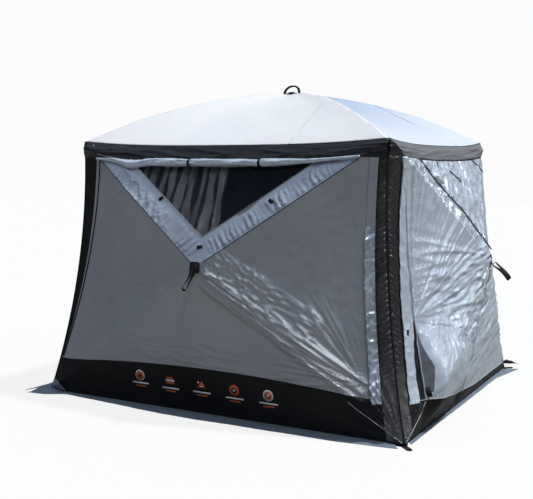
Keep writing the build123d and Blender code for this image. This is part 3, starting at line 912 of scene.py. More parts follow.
class Layout:
    """Where one wall's borders run: insets of its black columns, left and right, at the top and at the hem."""

    def __init__(self, wall, left, right, hem_shape, plain_left=False):
        self.wall, self.hem_shape, self.plain_left = wall, hem_shape, plain_left
        self.insets = {-1: left, 1: right}

    def column(self, side, v):
        """u of the inner edge of a column at v."""
        high, low = self.insets[side]
        share = (v - HEM_LINE) / (TOP_LINE - HEM_LINE)
        return side * (self.wall.half(v) - (low + (high - low) * share))

    def lines(self):
        low, high = -self.wall.low, self.wall.high
        made = [((self.column(side, low), low), (self.column(side, high), high)) for side in (-1, 1)]
        return made + [((-1, HEM_LINE), (1, HEM_LINE)), ((-1, TOP_LINE), (1, TOP_LINE))]

    def region(self, u, v):
        """The part of the wall at one place: column, border or inside."""
        if not self.column(-1, v) < u < self.column(1, v):
            return "border" if self.plain_left and u < 0 else "column"
        return "border" if v > TOP_LINE or v < HEM_LINE else "inside"

    def warp(self, u, v):
        """Bends the hem line to its real curve and leaves the ground line and the eave alone."""
        near = np.clip(1 - np.abs(v - HEM_LINE) / 0.21, 0, 1)
        return u, v + self.hem_shape(u) * near * near * (3 - 2 * near)


def window_outline(wall, width, top, grow=0.0):
    slope = wall.high / wall.eave_half
    lowest = (width - grow) * sqrt(1 + slope * slope)
    reach = (top + grow - lowest) / slope
    return [(0.0, lowest), (reach, top + grow), (-reach, top + grow)]


def build_wall(wall, layout, folds, step, inside, top_inside, window=None):
    """The four cloth triangles of one wall, each one mesh with its black borders."""
    for sector in SECTORS:
        outline = window_outline(wall, window, TOP_LINE) if window and sector == "top" else None
        lines = layout.lines()
        if outline:
            lines += [(outline[0], outline[1]), (outline[0], outline[2])]

        def region(u, v):
            part = layout.region(u, v)
            if part == "inside" and sector == "top":
                if outline and outline_area(clipped([(u, v), (u + 1e-4, v), (u, v + 1e-4)], outline)) > 4e-9:
                    return None
                return 1
            return {"column": 2, "border": 3, "inside": 0}[part]

        piece = lay(f"{wall.name}_panel_{sector}", wall, folds, wall.sector(sector), step,
                    [inside, top_inside, BLACK_COLUMN, BLACK], lines, region, layout.warp)
        thicken(piece)
        wall.swing(piece, sector)
        stand_in(piece, f"{wall.name}_cloth_{sector}", "wall_cloth")
        along = {"bottom": 2 * wall.base_half, "top": 2 * wall.eave_half}.get(sector, wall.height)
        reach = {"bottom": wall.low, "top": wall.high}.get(sector, wall.waist)
        slant = sqrt(reach ** 2 + wall.pop ** 2)
        if outline:
            declare(piece, (along, reach), "stretched", area=along * reach / 2 - outline_area(outline))
        else:
            declare(piece, (along, slant), "stretched", area=along * slant / 2)


FRONT, RIGHT, BACK, LEFT = WALLS = [Wall(name) for name in ("front", "right", "back", "left")]
ROOF = Roof()
COVER_ZIP = [(-0.640, 0.700), (-0.500, 0.548), (-0.255, 0.384), (-0.178, 0.326), (0.056, 0.067)]


def arched_hem(rise, reach):
    return lambda u: rise * (1 - np.clip(np.abs(u) / reach, 0, 1) ** 2)


def right_hem(u):
    """The loose door of the right wall hangs lower towards the back."""
    return -0.16 * ramp(u, -1.15, 0.35) - 0.02


PLAIN_COLUMN = (0.095, 0.080)
FRONT_LAYOUT = Layout(FRONT, (0.138, 0.022), (0.052, 0.098), arched_hem(0.064, 1.15), plain_left=True)
RIGHT_LAYOUT = Layout(RIGHT, (0.118, 0.080), (0.085, 0.075), right_hem)
BACK_LAYOUT, LEFT_LAYOUT = [Layout(wall, PLAIN_COLUMN, PLAIN_COLUMN, arched_hem(0.03, 1.1))
                            for wall in (BACK, LEFT)]


def front_folds():
    wall = FRONT
    gather = (1.07, -0.62)
    return total(wall, [
        calm(0.0022, 11),
        accordion(wall, -1, 0.145, 0.042, 0.0080, 21, 0.03, 0.36),
        accordion(wall, -1, 0.130, 0.036, 0.0075, 34, 0.52, 0.90),
        crumple(wall.diagonal(-1, 1, 0.30), wall.diagonal(-1, 1, 0.70), 0.13, 0.05, 0.09, 0.0075, 35, 0.5),
        accordion(wall, 1, 0.135, 0.036, 0.0135, 22, 0.06, 0.96),
        crumple((0.05, -0.06), (1.08, -0.68), 0.09, 0.75, 0.027, 0.0120, 23, 0, 1.2),
        crumple((0.10, 0.03), (0.78, -0.36), 0.13, 0.13, 0.034, 0.0100, 24, 0.5, 1.2),
        crumple((0.05, 0.06), (0.42, -0.10), 0.10, 0.05, 0.10, 0.0060, 36, 0.4),
        fan(gather, 152, 44, 0.66, 9.0, 0.0150, 25, 0.06, 1.3),
        fan(gather, 118, 22, 0.40, 6.0, 0.0080, 26),
        crumple((-0.62, -0.52), (0.30, -0.56), 0.10, 0.12, 0.06, 0.0030, 27, 1.2),
        crumple((0.85, 0.35), (1.02, -0.30), 0.16, 0.50, 0.06, 0.0022, 28),
        fan((1.285, -0.93), 130, 32, 0.44, 7.0, 0.0210, 29, 0.05),
        fan((1.10, 0.80), 205, 24, 0.34, 5.0, 0.0040, 30),
        fan((-1.285, -0.93), 48, 34, 0.34, 4.0, 0.0060, 31, 0.05),
        column_folds(FRONT_LAYOUT, 1, 0.0150, 32),
        column_folds(FRONT_LAYOUT, -1, 0.0020, 33),
    ])


def loose_corner(u, v):
    """The unzipped side door stands off the column, and its leading edge turns back in."""
    inward = u - (-0.900 + 0.045 * (v + 0.27))
    return (0.085 * ramp(-v, 0.27, 0.62) * within(inward, 0.0, 0.115, 0.30, 0.95) * ramp(v, -0.935, -0.74))


def right_folds():
    gather = (-0.90, -0.27)
    full = (0.01, 0.12)
    return held_flat(total(RIGHT, [
        calm(0.0050, 41),
        loose_corner,
        fan(gather, 60, 33, 1.40, 8.5, 0.0200, 42, 0.10, 1.5),
        fan(gather, 56, 30, 1.10, 17.0, 0.0055, 54, 0.12, 1.2),
        fan(gather, 6, 28, 1.20, 5.0, 0.0120, 43, 0.10, 1.5),
        fan((0.05, 0.02), 215, 58, 1.10, 10.0, 0.0120, 44, 0.10, 1.6),
        crumple((-0.60, -0.22), (0.10, -0.05), 0.26, 0.26, 0.060, 0.0120, 45, 0.7, 1.5),
        crumple((-0.75, -0.36), (-0.10, -0.76), 0.24, 0.050, 0.45, 0.0080, 46, 0.2),
        crumple((-0.10, -0.55), (0.60, -0.10), 0.26, 0.30, 0.055, 0.0110, 52, 0.4, 1.4),
        crumple((-0.20, -0.72), (0.80, -0.55), 0.18, 0.30, 0.060, 0.0080, 53, 0.8, 1.4),
        over_window(RIGHT, crinkled(0.085, 0.0250, 47, 62, 2.4), full),
        over_window(RIGHT, crinkled(0.055, 0.0090, 55, 78, 2.2), full),
        crease((-0.42, -0.43), (-0.29, -0.50), 0.011, -0.020),
        crease((-0.36, -0.47), (0.22, -0.26), 0.011, -0.020),
        crinkled(0.11, 0.0060, 48, 60, 2.2),
        fan((-1.155, -0.93), 52, 26, 0.34, 6.0, 0.0120, 49, 0.05),
        column_folds(RIGHT_LAYOUT, -1, 0.0170, 50),
        column_folds(RIGHT_LAYOUT, 1, 0.0060, 51),
    ]), COVER_ZIP, 0.050, 0.80)


def plain_folds(layout, seed):
    """A closed wall: folds from its lower corners and a crinkled cover over the window."""
    return total(layout.wall, [
        calm(0.0040, seed),
        over_window(layout.wall, crinkled(0.10, 0.0060, seed + 1, 30, 1.4), (0.0, 0.14)),
        fan((-0.95, -0.60), 35, 40, 1.0, 6.0, 0.0090, seed + 2, 0.1, 1.2),
        fan((0.95, -0.60), 145, 40, 1.0, 6.0, 0.0090, seed + 3, 0.1, 1.2),
        crinkled(0.13, 0.0022, seed + 4, 70, 1.6),
        column_folds(layout, 1, 0.0055, seed + 5),
        column_folds(layout, -1, 0.0055, seed + 6),
    ])


def roof_folds(u, v):
    rho = np.maximum(np.abs(u) / ROOF.half_x, np.abs(v) / ROOF.half_y)
    slack = noise(u / 0.6, v / 0.6, 101) * 0.006 + noise(u / 0.2, v / 0.24, 102) * 0.0015
    radial = ridged(np.arctan2(v, u) * 9.0, rho * 1.1, 103, 1.2) * 0.004 * (1 - ramp(rho, 0.25, 0.8))
    return (slack + radial) * within(rho, 0.03, 0.2, 0.9, 1.0)


def build_roof():
    """The four gores, each with the seam that joins its two widths of cloth."""
    for name in GORES:
        outline, out, reach, wide = ROOF.gore(name)
        piece = lay(f"roof_panel_{name}", ROOF, roof_folds, outline, COARSE,
                    [SILVER_ROOF_PAINTED_REFLECTION if name == "right" else SILVER_ROOF, LINING])
        thicken(piece, lining_slot=1)
        ROOF.swing(piece, name)
        stand_in(piece, f"roof_cloth_{name}", "roof_cloth")
        slant = sqrt(reach ** 2 + ROOF.pop ** 2)
        declare(piece, (2 * wide, slant), "stretched", area=wide * slant)
        along = np.linspace(SEAM_SHARE * reach * 1.02, reach * 0.995, 40)
        u, v = out[:, None] * along + np.array([[-out[1]], [out[0]]]) * SEAM_SHARE * wide
        ROOF.swing(tube(f"roof_seam_{name}", ROOF.point(u, v, 0.0006), 0.0022, PIPING), name)


# ======== Trim on the walls ========

def spaced(route, step):
    """Points every step along a route, its own corners kept."""
    points = [np.array(route[0], float)]
    for start, end in zip(np.array(route[:-1], float), np.array(route[1:], float)):
        count = max(1, ceil(np.linalg.norm(end - start) / step))
        points += [start + (end - start) * (i + 1) / count for i in range(count)]
    return np.array(points)


class Trim:
    """Adds trim to one wall, over its panels; every piece follows the triangle that it is sewn to."""

    def __init__(self, wall, layout, folds):
        self.wall, self.layout, self.folds = wall, layout, folds

    def surface(self, u, v, lift):
        return self.wall.point(u, v, lift + self.folds(u, v))

    def cord(self, name, route, radius, material, lift, warped=False):
        """A cord or a row of stitches; a route over several triangles becomes a cord on each."""
        flat = spaced(route, 0.012 * MESH_SCALE)
        if warped:
            flat = np.stack(self.layout.warp(flat[:, 0], flat[:, 1]), 1)
        homes = [self.wall.sector_at(u, v) for u, v in flat]
        start, made = 0, 0
        for i in range(1, len(flat) + 1):
            if i == len(flat) or homes[i] != homes[start]:
                run = flat[start:i + 1]
                if len(run) > 1:
                    points = self.surface(run[:, 0], run[:, 1], lift)
                    piece = tube(f"{self.wall.name}_{name}_{made}", points, radius, material)
                    self.wall.swing(piece, homes[start])
                    made += 1
                start = i

    def patch(self, name, corners, sector, material, lift, held, shape=None):
        """A four-sided sheet; shape(along, across, u, v) is its own height over its wall, along and across 0 to 1."""
        a, b, c, d = np.array(corners, float)
        across, along = [max(least, ceil(max(np.linalg.norm(p), np.linalg.norm(q)) / (0.007 * MESH_SCALE)))
                         for least, p, q in ((1, d - a, c - b), (2, b - a, c - d))]
        t, s, faces = share_grid(across, along)
        flat = np.array([(a * (1 - x) + b * x) * (1 - y) + (d * (1 - x) + c * x) * y for x, y in zip(s, t)])
        u, v = flat[:, 0], flat[:, 1]
        height = lift + (shape(s, t, u, v) if shape else 0.0)
        piece = make_object(f"{self.wall.name}_{name}", self.surface(u, v, height), faces, [material], uvs=flat)
        thicken(piece)
        self.wall.swing(piece, sector)
        outline = np.array(corners) - np.mean(corners, 0)
        long, wide = np.ptp(outline @ np.linalg.svd(outline)[2].T, axis=0)
        declare(piece, (wide, long), held, f"{self.wall.name}_panel_{sector}", outline_area(corners), 4)

    def spot(self, name, outline, sector, material, lift):
        """A small flat shape, such as a tab or a print."""
        points = np.array([*outline, np.mean(outline, 0)])
        count = len(outline)
        faces = [[i, (i + 1) % count, count] for i in range(count)]
        piece = make_object(f"{self.wall.name}_{name}", self.surface(points[:, 0], points[:, 1], lift), faces,
                            [material], uvs=points)
        thicken(piece, 0.0012)
        self.wall.swing(piece, sector)


def circle(u, v, radius, count=20):
    return [(u + radius * cos(2 * pi * k / count), v + radius * sin(2 * pi * k / count)) for k in range(count)]


def box_at(u, v, wide, high, lean=0.0):
    turn = radians(lean)
    return [(u + x * cos(turn) - y * sin(turn), v + x * sin(turn) + y * cos(turn))
            for x, y in ((-wide / 2, -high / 2), (wide / 2, -high / 2), (wide / 2, high / 2), (-wide / 2, high / 2))]


def add_piping(trim):
    column = trim.layout.column
    hem = HEM_LINE - 0.002
    trim.cord("hem_piping", [(column(-1, hem), hem), (column(1, hem), hem)], 0.0030, PIPING, 0.002, True)
    for side, name in ((-1, "left_piping"), (1, "right_piping")):
        route = [(column(side, HEM_LINE), HEM_LINE), (column(side, TOP_LINE), TOP_LINE)]
        trim.cord(name, route, 0.0020, BLACK, 0.001, True)


def add_valance(wall, material, drop, seed, black_end=0.0):
    """The strip that hangs from the eave, just clear of the wall; one end may be glossy black cloth, beside a painted
    grey sheen on the rest.
    """
    t, s, faces = share_grid(14, ceil(2 * wall.eave_half / (0.010 * MESH_SCALE)), flipped=True)
    share = 2 * s - 1
    top = wall.high - 0.001
    u = share * (wall.half(top - t * drop) - 1e-4)
    v = top - t * drop * (1 + 0.05 * noise(u / 0.20, t * 0, seed + 2))
    middle = 1 - np.abs(share) ** 6
    lift = 0.005 + 0.005 * t * middle + 0.004 * t * noise(u / 0.16, t * 0.6, seed)
    pulled = ridged(u / 0.42 + t * 0.3, t * 2.6, seed + 1, 2.0)
    lift = lift + 0.0075 * np.sin(pi * t) * pulled + 0.0016 * noise(u / 0.035, t * 2.0, seed + 3)
    streaks = ridged(u / 0.50 + t * 0.2, t * 4.2 + 0.4 * noise(u / 0.3, t, seed + 4), seed + 5, 1.2)
    lift = lift + 0.0110 * np.sin(pi * t) * streaks * ramp(np.abs(share), 0.30, 0.85)
    black = u + wall.eave_half < black_end * (0.12 + t)
    piece = make_object(f"{wall.name}_valance", wall.point(u, v, lift), faces, [material, BLACK_GLOSS],
                        [int(black[face[0]]) for face in faces], np.stack([u, v], 1))
    thicken(piece)
    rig.ride(piece, "shell_base")
    declare(piece, (2 * wall.eave_half, drop), "hung")


def add_bindings():
    """Binding over the cage of cords: four corners, the eave and the base line."""
    steps = np.linspace(0, 1, 60)
    for wall in WALLS:
        v = -wall.low + steps * wall.height
        paths = (("corner", (wall.half(v) - 1e-4, v), 0.0042),
                 ("eave", ((2 * steps - 1) * (wall.eave_half - 1e-4), np.full(60, wall.high - 1e-4)), 0.0046),
                 ("base", ((2 * steps - 1) * (wall.base_half - 1e-4), np.full(60, -wall.low + 1e-4)), 0.0042))
        for name, places, radius in paths:
            first = wall is FRONT and name == "corner"
            label = "edge_tape_cover" if first else f"{wall.name}_{name}_binding"
            piece = tube(label, wall.point(*places), radius, BLACK, 8)
            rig.ride(piece, "shell_base")
            if first:
                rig.replaces(piece, "edge_tape")


def net_slack(u, v):
    return 0.003 * noise(u / 0.3, v / 0.3, 201) - 0.002


def curtain_gathers(u, v):
    pleat = ridged(u / 0.052 + 0.35 * noise(v / 0.2, u / 0.3, 211), v / 0.60, 212, 0.8)
    return -0.075 + 0.055 * pleat + 0.010 * noise(u / 0.05, v / 0.12, 213)


def add_window():
    """The net, and the curtain behind it."""
    outline = window_outline(FRONT, ARM_WIDTH, TOP_LINE + 0.015, 0.022)
    net = lay("front_window_net", FRONT, net_slack, outline, 0.014 * MESH_SCALE, [NET])
    thicken(net, 0.0006)
    FRONT.swing(net, "top")
    stand_in(net, "front_window_mesh", "window_mesh")
    declare(net, np.ptp(outline, axis=0), "stretched", "front_panel_top", outline_area(outline))
    hung = [(-0.020, 0.140), (0.075, 0.24), (0.075, 0.735), (-0.64, 0.735), (-0.64, 0.60)]
    hung = clipped(hung, window_outline(FRONT, ARM_WIDTH, 0.75, 0.075))
    curtain = lay("inner_curtain", FRONT, curtain_gathers, hung, FINE, [CURTAIN])
    thicken(curtain)
    FRONT.swing(curtain, "top")
    declare(curtain, (0.95, 0.52), "gathered", "front_panel_top", 0.30)


def add_window_roll():
    """The window's cover, rolled up under the eave, with its keepers."""
    s = np.linspace(0, 1, ROLL_RINGS)
    u = ROLL_ENDS[0] + s * (ROLL_ENDS[1] - ROLL_ENDS[0])
    v = 0.688 - 0.020 * np.exp(-((u + 0.66) / 0.10) ** 2) + 0.003 * noise(u / 0.15, s * 0, 221)
    core = FRONT.point(u, v + 0.014 * ramp(s, 0.70, 1.0), 0.022)
    size = 0.027 * (0.22 + 0.78 * ramp(s, 0.0, 0.16)) * (1 - 0.75 * ramp(s, 0.66, 1.0))
    for place in ROLL_KEEPERS:
        size = size * (1 - 0.32 * np.exp(-((u - place) / 0.010) ** 2))
    size = size * (1 + 0.09 * noise(u / 0.07, s * 0 + 0.3, 222))
    along, t, faces = share_grid(ROLL_RINGS - 1, ROLL_SIDES)
    near = np.repeat(np.arange(ROLL_RINGS), ROLL_SIDES + 1)
    turn = 2 * pi * ROLL_TURNS * t + 0.9 + 1.2 * along
    x, y = np.cos(turn), np.sin(turn)
    dent = 0.20 * noise(x * 1.6 + u[near] * 9, y * 1.6, 223)
    dent = dent + 0.11 * noise(x * 4.0 + u[near] * 26, y * 4.0 + u[near] * 5, 224)
    far = size[near] * (0.42 + 0.58 * t) * (1 + dent)
    points = core[near] + far[:, None] * (x[:, None] * FRONT.normal + y[:, None] * UPWARD)
    # painted light: the roll takes the lighter silver copy
    roll = make_object("window_cover_roll", points, faces, [SILVER_PAINTED_LIGHT], uvs=np.stack([u[near], 0.36 * t], 1))
    thicken(roll, offset=0.0)
    FRONT.swing(roll, "top")
    stand_in(roll, "front_window_roll", "silver_cloth")
    declare(roll, (1.82, 0.45), "folded", "front_panel_top", 0.40)
    for k, place in enumerate(ROLL_KEEPERS):
        middle = core[int(np.argmin(np.abs(u - place)))]
        ring = [middle + 0.0215 * (cos(a) * FRONT.normal + sin(a) * UPWARD) for a in np.linspace(0, 2 * pi, 25)[:-1]]
        FRONT.swing(ribbon(f"roll_keeper_{k}", ring, FRONT.across, 0.016, 0.0022, WEBBING, True), "top")
    for k, (u0, v0, lean) in enumerate(((-0.368, 0.440, 35), (0.428, 0.437, -35), (0.003, 0.133, 12))):
        FRONT_TRIM.spot(f"keeper_tab_{k}", box_at(u0, v0, 0.036, 0.021, lean), "top", WEBBING, 0.005)
    slope = FRONT.high / FRONT.eave_half
    lowest = ARM_WIDTH * sqrt(1 + slope * slope)
    for side, name in ((-1, "window_edge_left"), (1, "window_edge_right")):
        FRONT_TRIM.cord(name, [(0, lowest), (side * (TOP_LINE - lowest) / slope, TOP_LINE)], 0.0022, PIPING, 0.001)
        pole = [(side * 0.05, 0.05 * slope), (side * TOP_LINE / slope, TOP_LINE)]
        FRONT_TRIM.cord(f"pole_cord_{name}", pole, 0.0022, BLACK, 0.001)


def strip_curl(s, t, u, v):
    """The storm strip is flat near its top and crumpled and curled below."""
    free = ramp(v, 0.31, 0.22)
    curl = t * free * (0.020 + 0.008 * noise(v / 0.13, t, 231))
    return curl + 0.009 * ridged(v / 0.050 + 0.8 * t, t * 1.3 + v * 2, 232) * free + 0.0015 * noise(v / 0.3, t, 233)


def corner_turned_up(s, t, u, v):
    return 0.010 * np.sin(pi * s) + 0.008 * ridged(u / 0.030, v / 0.09, 235)


def door_flap(s, t, u, v):
    return 0.003 + 0.004 * ridged(v / 0.07, t, 241) + 0.003 * noise(v / 0.2, t * 2, 242)


def add_front_door():
    """Zip lines, the storm strip beside the right column and the prints under the hem."""
    trim = FRONT_TRIM
    trim.cord("zip_left", [(-0.932, 0.70), (-1.238, -0.70)], 0.0030, BLACK, 0.001)
    trim.cord("zip_left_teeth", [(-0.940, 0.69), (-1.243, -0.69)], 0.0018, ZIP_METAL, 0.002)
    low, middle, high = [FRONT_LAYOUT.column(1, v) for v in (-0.725, 0.30, TOP_LINE)]
    # painted light and shade: the crumpled lower storm strip takes a lighter silver than its flat upper part, which
    # has the front's painted shade
    trim.patch("storm_strip_low", [(low, -0.722), (middle, 0.30), (middle - STRIP_WIDTH, 0.31),
                                   (low - STRIP_WIDTH, -0.728)], "right", SILVER_PAINTED_HALF_SHADE, 0.004, "hung", strip_curl)
    trim.patch("storm_strip_high", [(middle, 0.29), (high, TOP_LINE), (high - STRIP_WIDTH, TOP_LINE),
                                    (middle - STRIP_WIDTH, 0.29)], "right", SILVER_PAINTED_SHADE, 0.005, "hung")
    trim.cord("eave_cord", [(-1.020, 0.795), (-0.958, 0.722), (-0.790, 0.704)], 0.0022, PIPING, 0.013)
    trim.patch("turned_flap", [(-1.165, -0.934), (-1.232, -0.868), (-1.288, -0.862), (-1.293, -0.934)], "bottom",
               FLAP, 0.006, "folded", corner_turned_up)
    trim.cord("turned_flap_edge", [(-1.165, -0.934), (-1.232, -0.868), (-1.286, -0.862)], 0.0026, PIPING, 0.012)
    trim.cord("gusset_right", [(0.966, -0.727), (1.288, -0.928)], 0.0030, PIPING, 0.002)
    for k, (u, v) in enumerate(((-0.509, -0.742), (-0.273, -0.750), (-0.037, -0.748), (0.203, -0.756),
                                (0.441, -0.758))):
        badge = BADGES[k](u, v) + [("caption_0", box_at(u, v - 0.052, 0.128, 0.0105), PRINT_WHITE, 0),
                                   ("caption_1", box_at(u, v - 0.072, 0.080, 0.0085), PRINT_RED, 0)]
        for name, outline, material, layer in badge:
            trim.spot(f"print_{k}_{name}", outline, "bottom", material, 0.0018 + 0.0008 * layer)


BADGES = (                 # plain shapes: name, outline, ink and layer
    lambda u, v: [("ring", circle(u, v, 0.0378, 8), PRINT_WHITE, 0), ("disc", circle(u, v, 0.02952), PRINT_RED, 1),
                  ("dot", circle(u, v, 0.010, 12), PRINT_BLACK, 2)],
    lambda u, v: [("bar_0", box_at(u, v + 0.016, 0.052, 0.013), PRINT_RED, 0),
                  ("bar_1", box_at(u, v, 0.064, 0.013), PRINT_WHITE, 0),
                  ("bar_2", box_at(u, v - 0.016, 0.064, 0.013), PRINT_RED, 0)],
    lambda u, v: [("wedge", [(u - 0.034, v - 0.022), (u + 0.034, v - 0.022), (u + 0.008, v + 0.024)], PRINT_RED, 0),
                  ("dot", circle(u - 0.020, v + 0.012, 0.007, 10), PRINT_WHITE, 0),
                  ("bar", box_at(u + 0.004, v - 0.012, 0.026, 0.006), PRINT_WHITE, 1)],
    lambda u, v: [("disc", circle(u, v, 0.036), PRINT_RED, 0), ("inner", circle(u, v, 0.018), PRINT_BLACK, 1),
                  ("dot", circle(u, v, 0.008, 10), PRINT_WHITE, 2)],
    lambda u, v: [("ring", circle(u, v, 0.036), PRINT_WHITE, 0), ("disc", circle(u, v, 0.02592), PRINT_RED, 1),
                  ("slash", box_at(u, v, 0.034, 0.007, 50), PRINT_WHITE, 2)],
)


def add_right_door():
    """The side door: its flap, the gap beside it, its zips, slits and tab."""
    trim = RIGHT_TRIM
    for name, corners, material, lift, held, shape in (
            ("storm_strip", [(-0.987, -0.740), (-0.850, 0.700), (-0.890, 0.700), (-1.078, -0.735)],
             SILVER, 0.006, "hung", door_flap),
            # a black sheet where the door stands open; its dark is partly the black cloth behind and partly painted
            # shade in the gap
            ("door_gap", [(-0.925, -0.740), (-0.893, -0.275), (-0.900, -0.275), (-0.988, -0.735)],
             BLACK, 0.003, "hung", None),
            # painted shade: a darker silver sheet over the door's turned-in edge, for the shade of that fold
            ("door_turned_back", [(-0.872, -0.690), (-0.846, -0.555), (-0.890, -0.290), (-0.919, -0.716)],
             SILVER_PAINTED_FOLD_SHADE, 0.0025, "folded", None)):
        trim.patch(name, corners, "left", material, lift, held, shape)
    for name, route, radius, material, lift in (
            # painted light: the door's edge cord takes the lighter silver copy
            ("door_edge", [(-0.850, 0.70), (-0.893, -0.27), (-0.919, -0.722)], 0.0040, SILVER_PAINTED_LIGHT, 0.006),
            ("cover_zip", COVER_ZIP, 0.0044, BLACK, 0.021),
            ("slit_0", [(-0.34, 0.69), (-0.31, 0.655)], 0.0045, BLACK, 0.002),
            ("slit_1", [(-0.08, 0.64), (-0.03, 0.585), (0.03, 0.55)], 0.0045, BLACK, 0.002),
            ("slit_2", [(0.54, 0.70), (0.64, 0.66), (0.72, 0.59)], 0.0040, BLACK, 0.002),
            ("gusset_left", [(-0.917, -0.745), (-1.158, -0.930)], 0.0028, PIPING, 0.002)):
        trim.cord(name, route, radius, material, lift)
    trim.spot("door_tab", box_at(-0.904, -0.690, 0.024, 0.056, 4), "left", WEBBING, 0.017)


def strap_path():
    """Places along and out from a pull loop's pivot: down the outside, round its end, and back."""
    half = (STRAP_LOOP - WEB_THICK) / 2
    straight = STRAP_LENGTH - STRAP_LOOP
    turns = [pi * k / 12 for k in range(13)]
    shares = np.linspace(1, 0, 12)[1:-1]
    path = [(straight + half * sin(turn), half * cos(turn)) for turn in turns]
    path += [(straight * s, -half * (1 - 0.35 * sin(pi * s))) for s in shares]
    path += [(-half * sin(turn), -half * cos(turn)) for turn in turns]
    path += [(straight * s, half * (1 - 0.25 * sin(pi * s))) for s in shares[::-1]]
    return [(STRAP_LOOP / 2 + along, away) for along, away in path]


def add_straps():
    """Pull loops on the wall hubs and the carrying loop on the roof hub."""
    lean = radians(STRAP_LEAN)
    for wall in WALLS:
        root = joint_point(f"{wall.name}_pull_strap_swing")
        drop = -cos(lean) * wall.up + sin(lean) * wall.normal
        out = sin(lean) * wall.up + cos(lean) * wall.normal
        points = [root + drop * along + out * away + wall.across * 0.010 * sin(pi * along / STRAP_LENGTH)
                  for along, away in strap_path()]
        strap = ribbon(f"{wall.name}_strap_loop", points, wall.across, WEB_WIDTH, WEB_THICK, WEBBING, True)
        for vert in strap.data.vertices:
            place = np.array(vert.co) - root
            turn = STRAP_TWIST * (place @ drop) / STRAP_LENGTH
            side, rise = turned(place @ wall.across, place @ out, -turn)
            vert.co = root + drop * (place @ drop) + wall.across * side + out * rise
        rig.ride(strap, f"{wall.name}_pull_strap")
        stand_in(strap, f"{wall.name}_pull_strap", "black_webbing")
    low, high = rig.box("roof_handle")
    x, y = (low[0] + high[0]) / 2, (low[1] + high[1]) / 2
    half, rise = (high[0] - low[0] - WEB_THICK) / 2, high[2] - low[2] - WEB_THICK / 2
    arch = [(x + half * cos(turn) + 0.012 * sin(turn), y, low[2] + rise * sin(turn) ** 0.8)
            for turn in np.linspace(pi, 0, 33)]
    handle = ribbon("roof_carry_loop", arch, (0, 1, 0), 0.020, 0.011, WEBBING)
    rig.ride(handle, "roof_hub")
    stand_in(handle, "roof_handle", "black_webbing")


def add_ground_flap():
    """Four skirt strips that lie on the ground, rumpled, wider where they were kicked out."""
    for wall, widths in zip(WALLS, SKIRT_WIDTHS):
        t, s, faces = share_grid(9, ceil(2 * wall.base_half / (0.018 * MESH_SCALE)), flipped=True)
        seed = 300 + len(wall.name)
        out = np.cross(wall.across, UPWARD)
        base = wall.origin - wall.up * wall.low
        width = np.interp(s, SKIRT_PLACES, widths)
        heap = ramp(width, 0.10, 0.17) * (1 - ramp(s, 0.0, 0.07))
        width = width * (0.92 + 0.10 * noise(s * 7, s * 0 + 0.2, seed))
        along = (2 * s - 1) * (wall.base_half - 0.070 + np.minimum(width, 0.17) * t * 0.95)
        wave = np.abs(noise(along / 0.16, t * 1.1, seed + 1))
        crush = ridged(along / 0.09, t * 0.8, seed + 2)
        z = 0.0035 + 0.009 * (1 - t) ** 3 + (0.010 * wave + 0.007 * crush) * np.sin(pi * np.minimum(t, 0.97))
        z = z + heap * (0.030 + 0.016 * crush) * np.sin(pi * np.minimum(t, 0.9))
        points = base + wall.across * along[:, None] + out * (0.004 + width * t)[:, None]
        points[:, 2] = z
        piece = make_object(f"{wall.name}_skirt", points, faces, [FLAP], uvs=np.stack([along, width * t], 1))
        thicken(piece, 0.002)
        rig.ride(piece, "shell_base")
        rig.slot(piece, "flap_cloth")
        length = 2 * wall.base_half
        declare(piece, (length, max(widths)), "laid", area=length * np.mean(widths))
        if wall is FRONT:
            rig.replaces(piece, "ground_flap")


UPWARD = np.array((0, 0, 1.0))
ROLL_TURNS = 2.3
ROLL_ENDS = (-0.96, 0.955)
ROLL_KEEPERS = (-0.207, 0.303)
ROLL_RINGS, ROLL_SIDES = 260, 64
SEAM_SHARE = 0.42          # place of a roof seam between the middle of its gore and the corner
STRAP_LENGTH, STRAP_LOOP = 0.150, 0.029
STRAP_TWIST = radians(55)
STRAP_LEAN = 40.0          # degrees out from straight down
WEB_WIDTH, WEB_THICK = 0.025, 0.0024
SKIRT_PLACES = (0, 0.05, 0.15, 0.40, 0.85, 1)      # shares of a wall's length where these widths are
SKIRT_WIDTHS = ((0.170, 0.030, 0.060, 0.125, 0.110, 0.060), (0.018, 0.018, 0.020, 0.024, 0.030, 0.110),
                (0.170, 0.160, 0.150, 0.155, 0.160, 0.170), (0.160, 0.160, 0.150, 0.150, 0.160, 0.178))

TRIMS = []
# The front takes the darker silvers of painted shade, and the other walls' tops a lighter silver of painted light.
for wall, layout, folds, step, inside, top_inside, window in (
        (FRONT, FRONT_LAYOUT, front_folds(), FINE, SILVER_PAINTED_SHADE, SILVER_PAINTED_HALF_SHADE, ARM_WIDTH),
        (RIGHT, RIGHT_LAYOUT, right_folds(), FINE, SILVER, SILVER_PAINTED_LIGHT, None),
        (BACK, BACK_LAYOUT, plain_folds(BACK_LAYOUT, 61), MEDIUM, SILVER, SILVER_PAINTED_LIGHT, None),
        (LEFT, LEFT_LAYOUT, plain_folds(LEFT_LAYOUT, 81), MEDIUM, SILVER, SILVER_PAINTED_LIGHT, None)):
    build_wall(wall, layout, folds, step, inside, top_inside, window)
    TRIMS.append(Trim(wall, layout, folds))
    add_piping(TRIMS[-1])
FRONT_TRIM, RIGHT_TRIM = TRIMS[:2]
build_roof()
add_bindings()
add_valance(FRONT, BLACK_GLOSS, 0.106, 401)
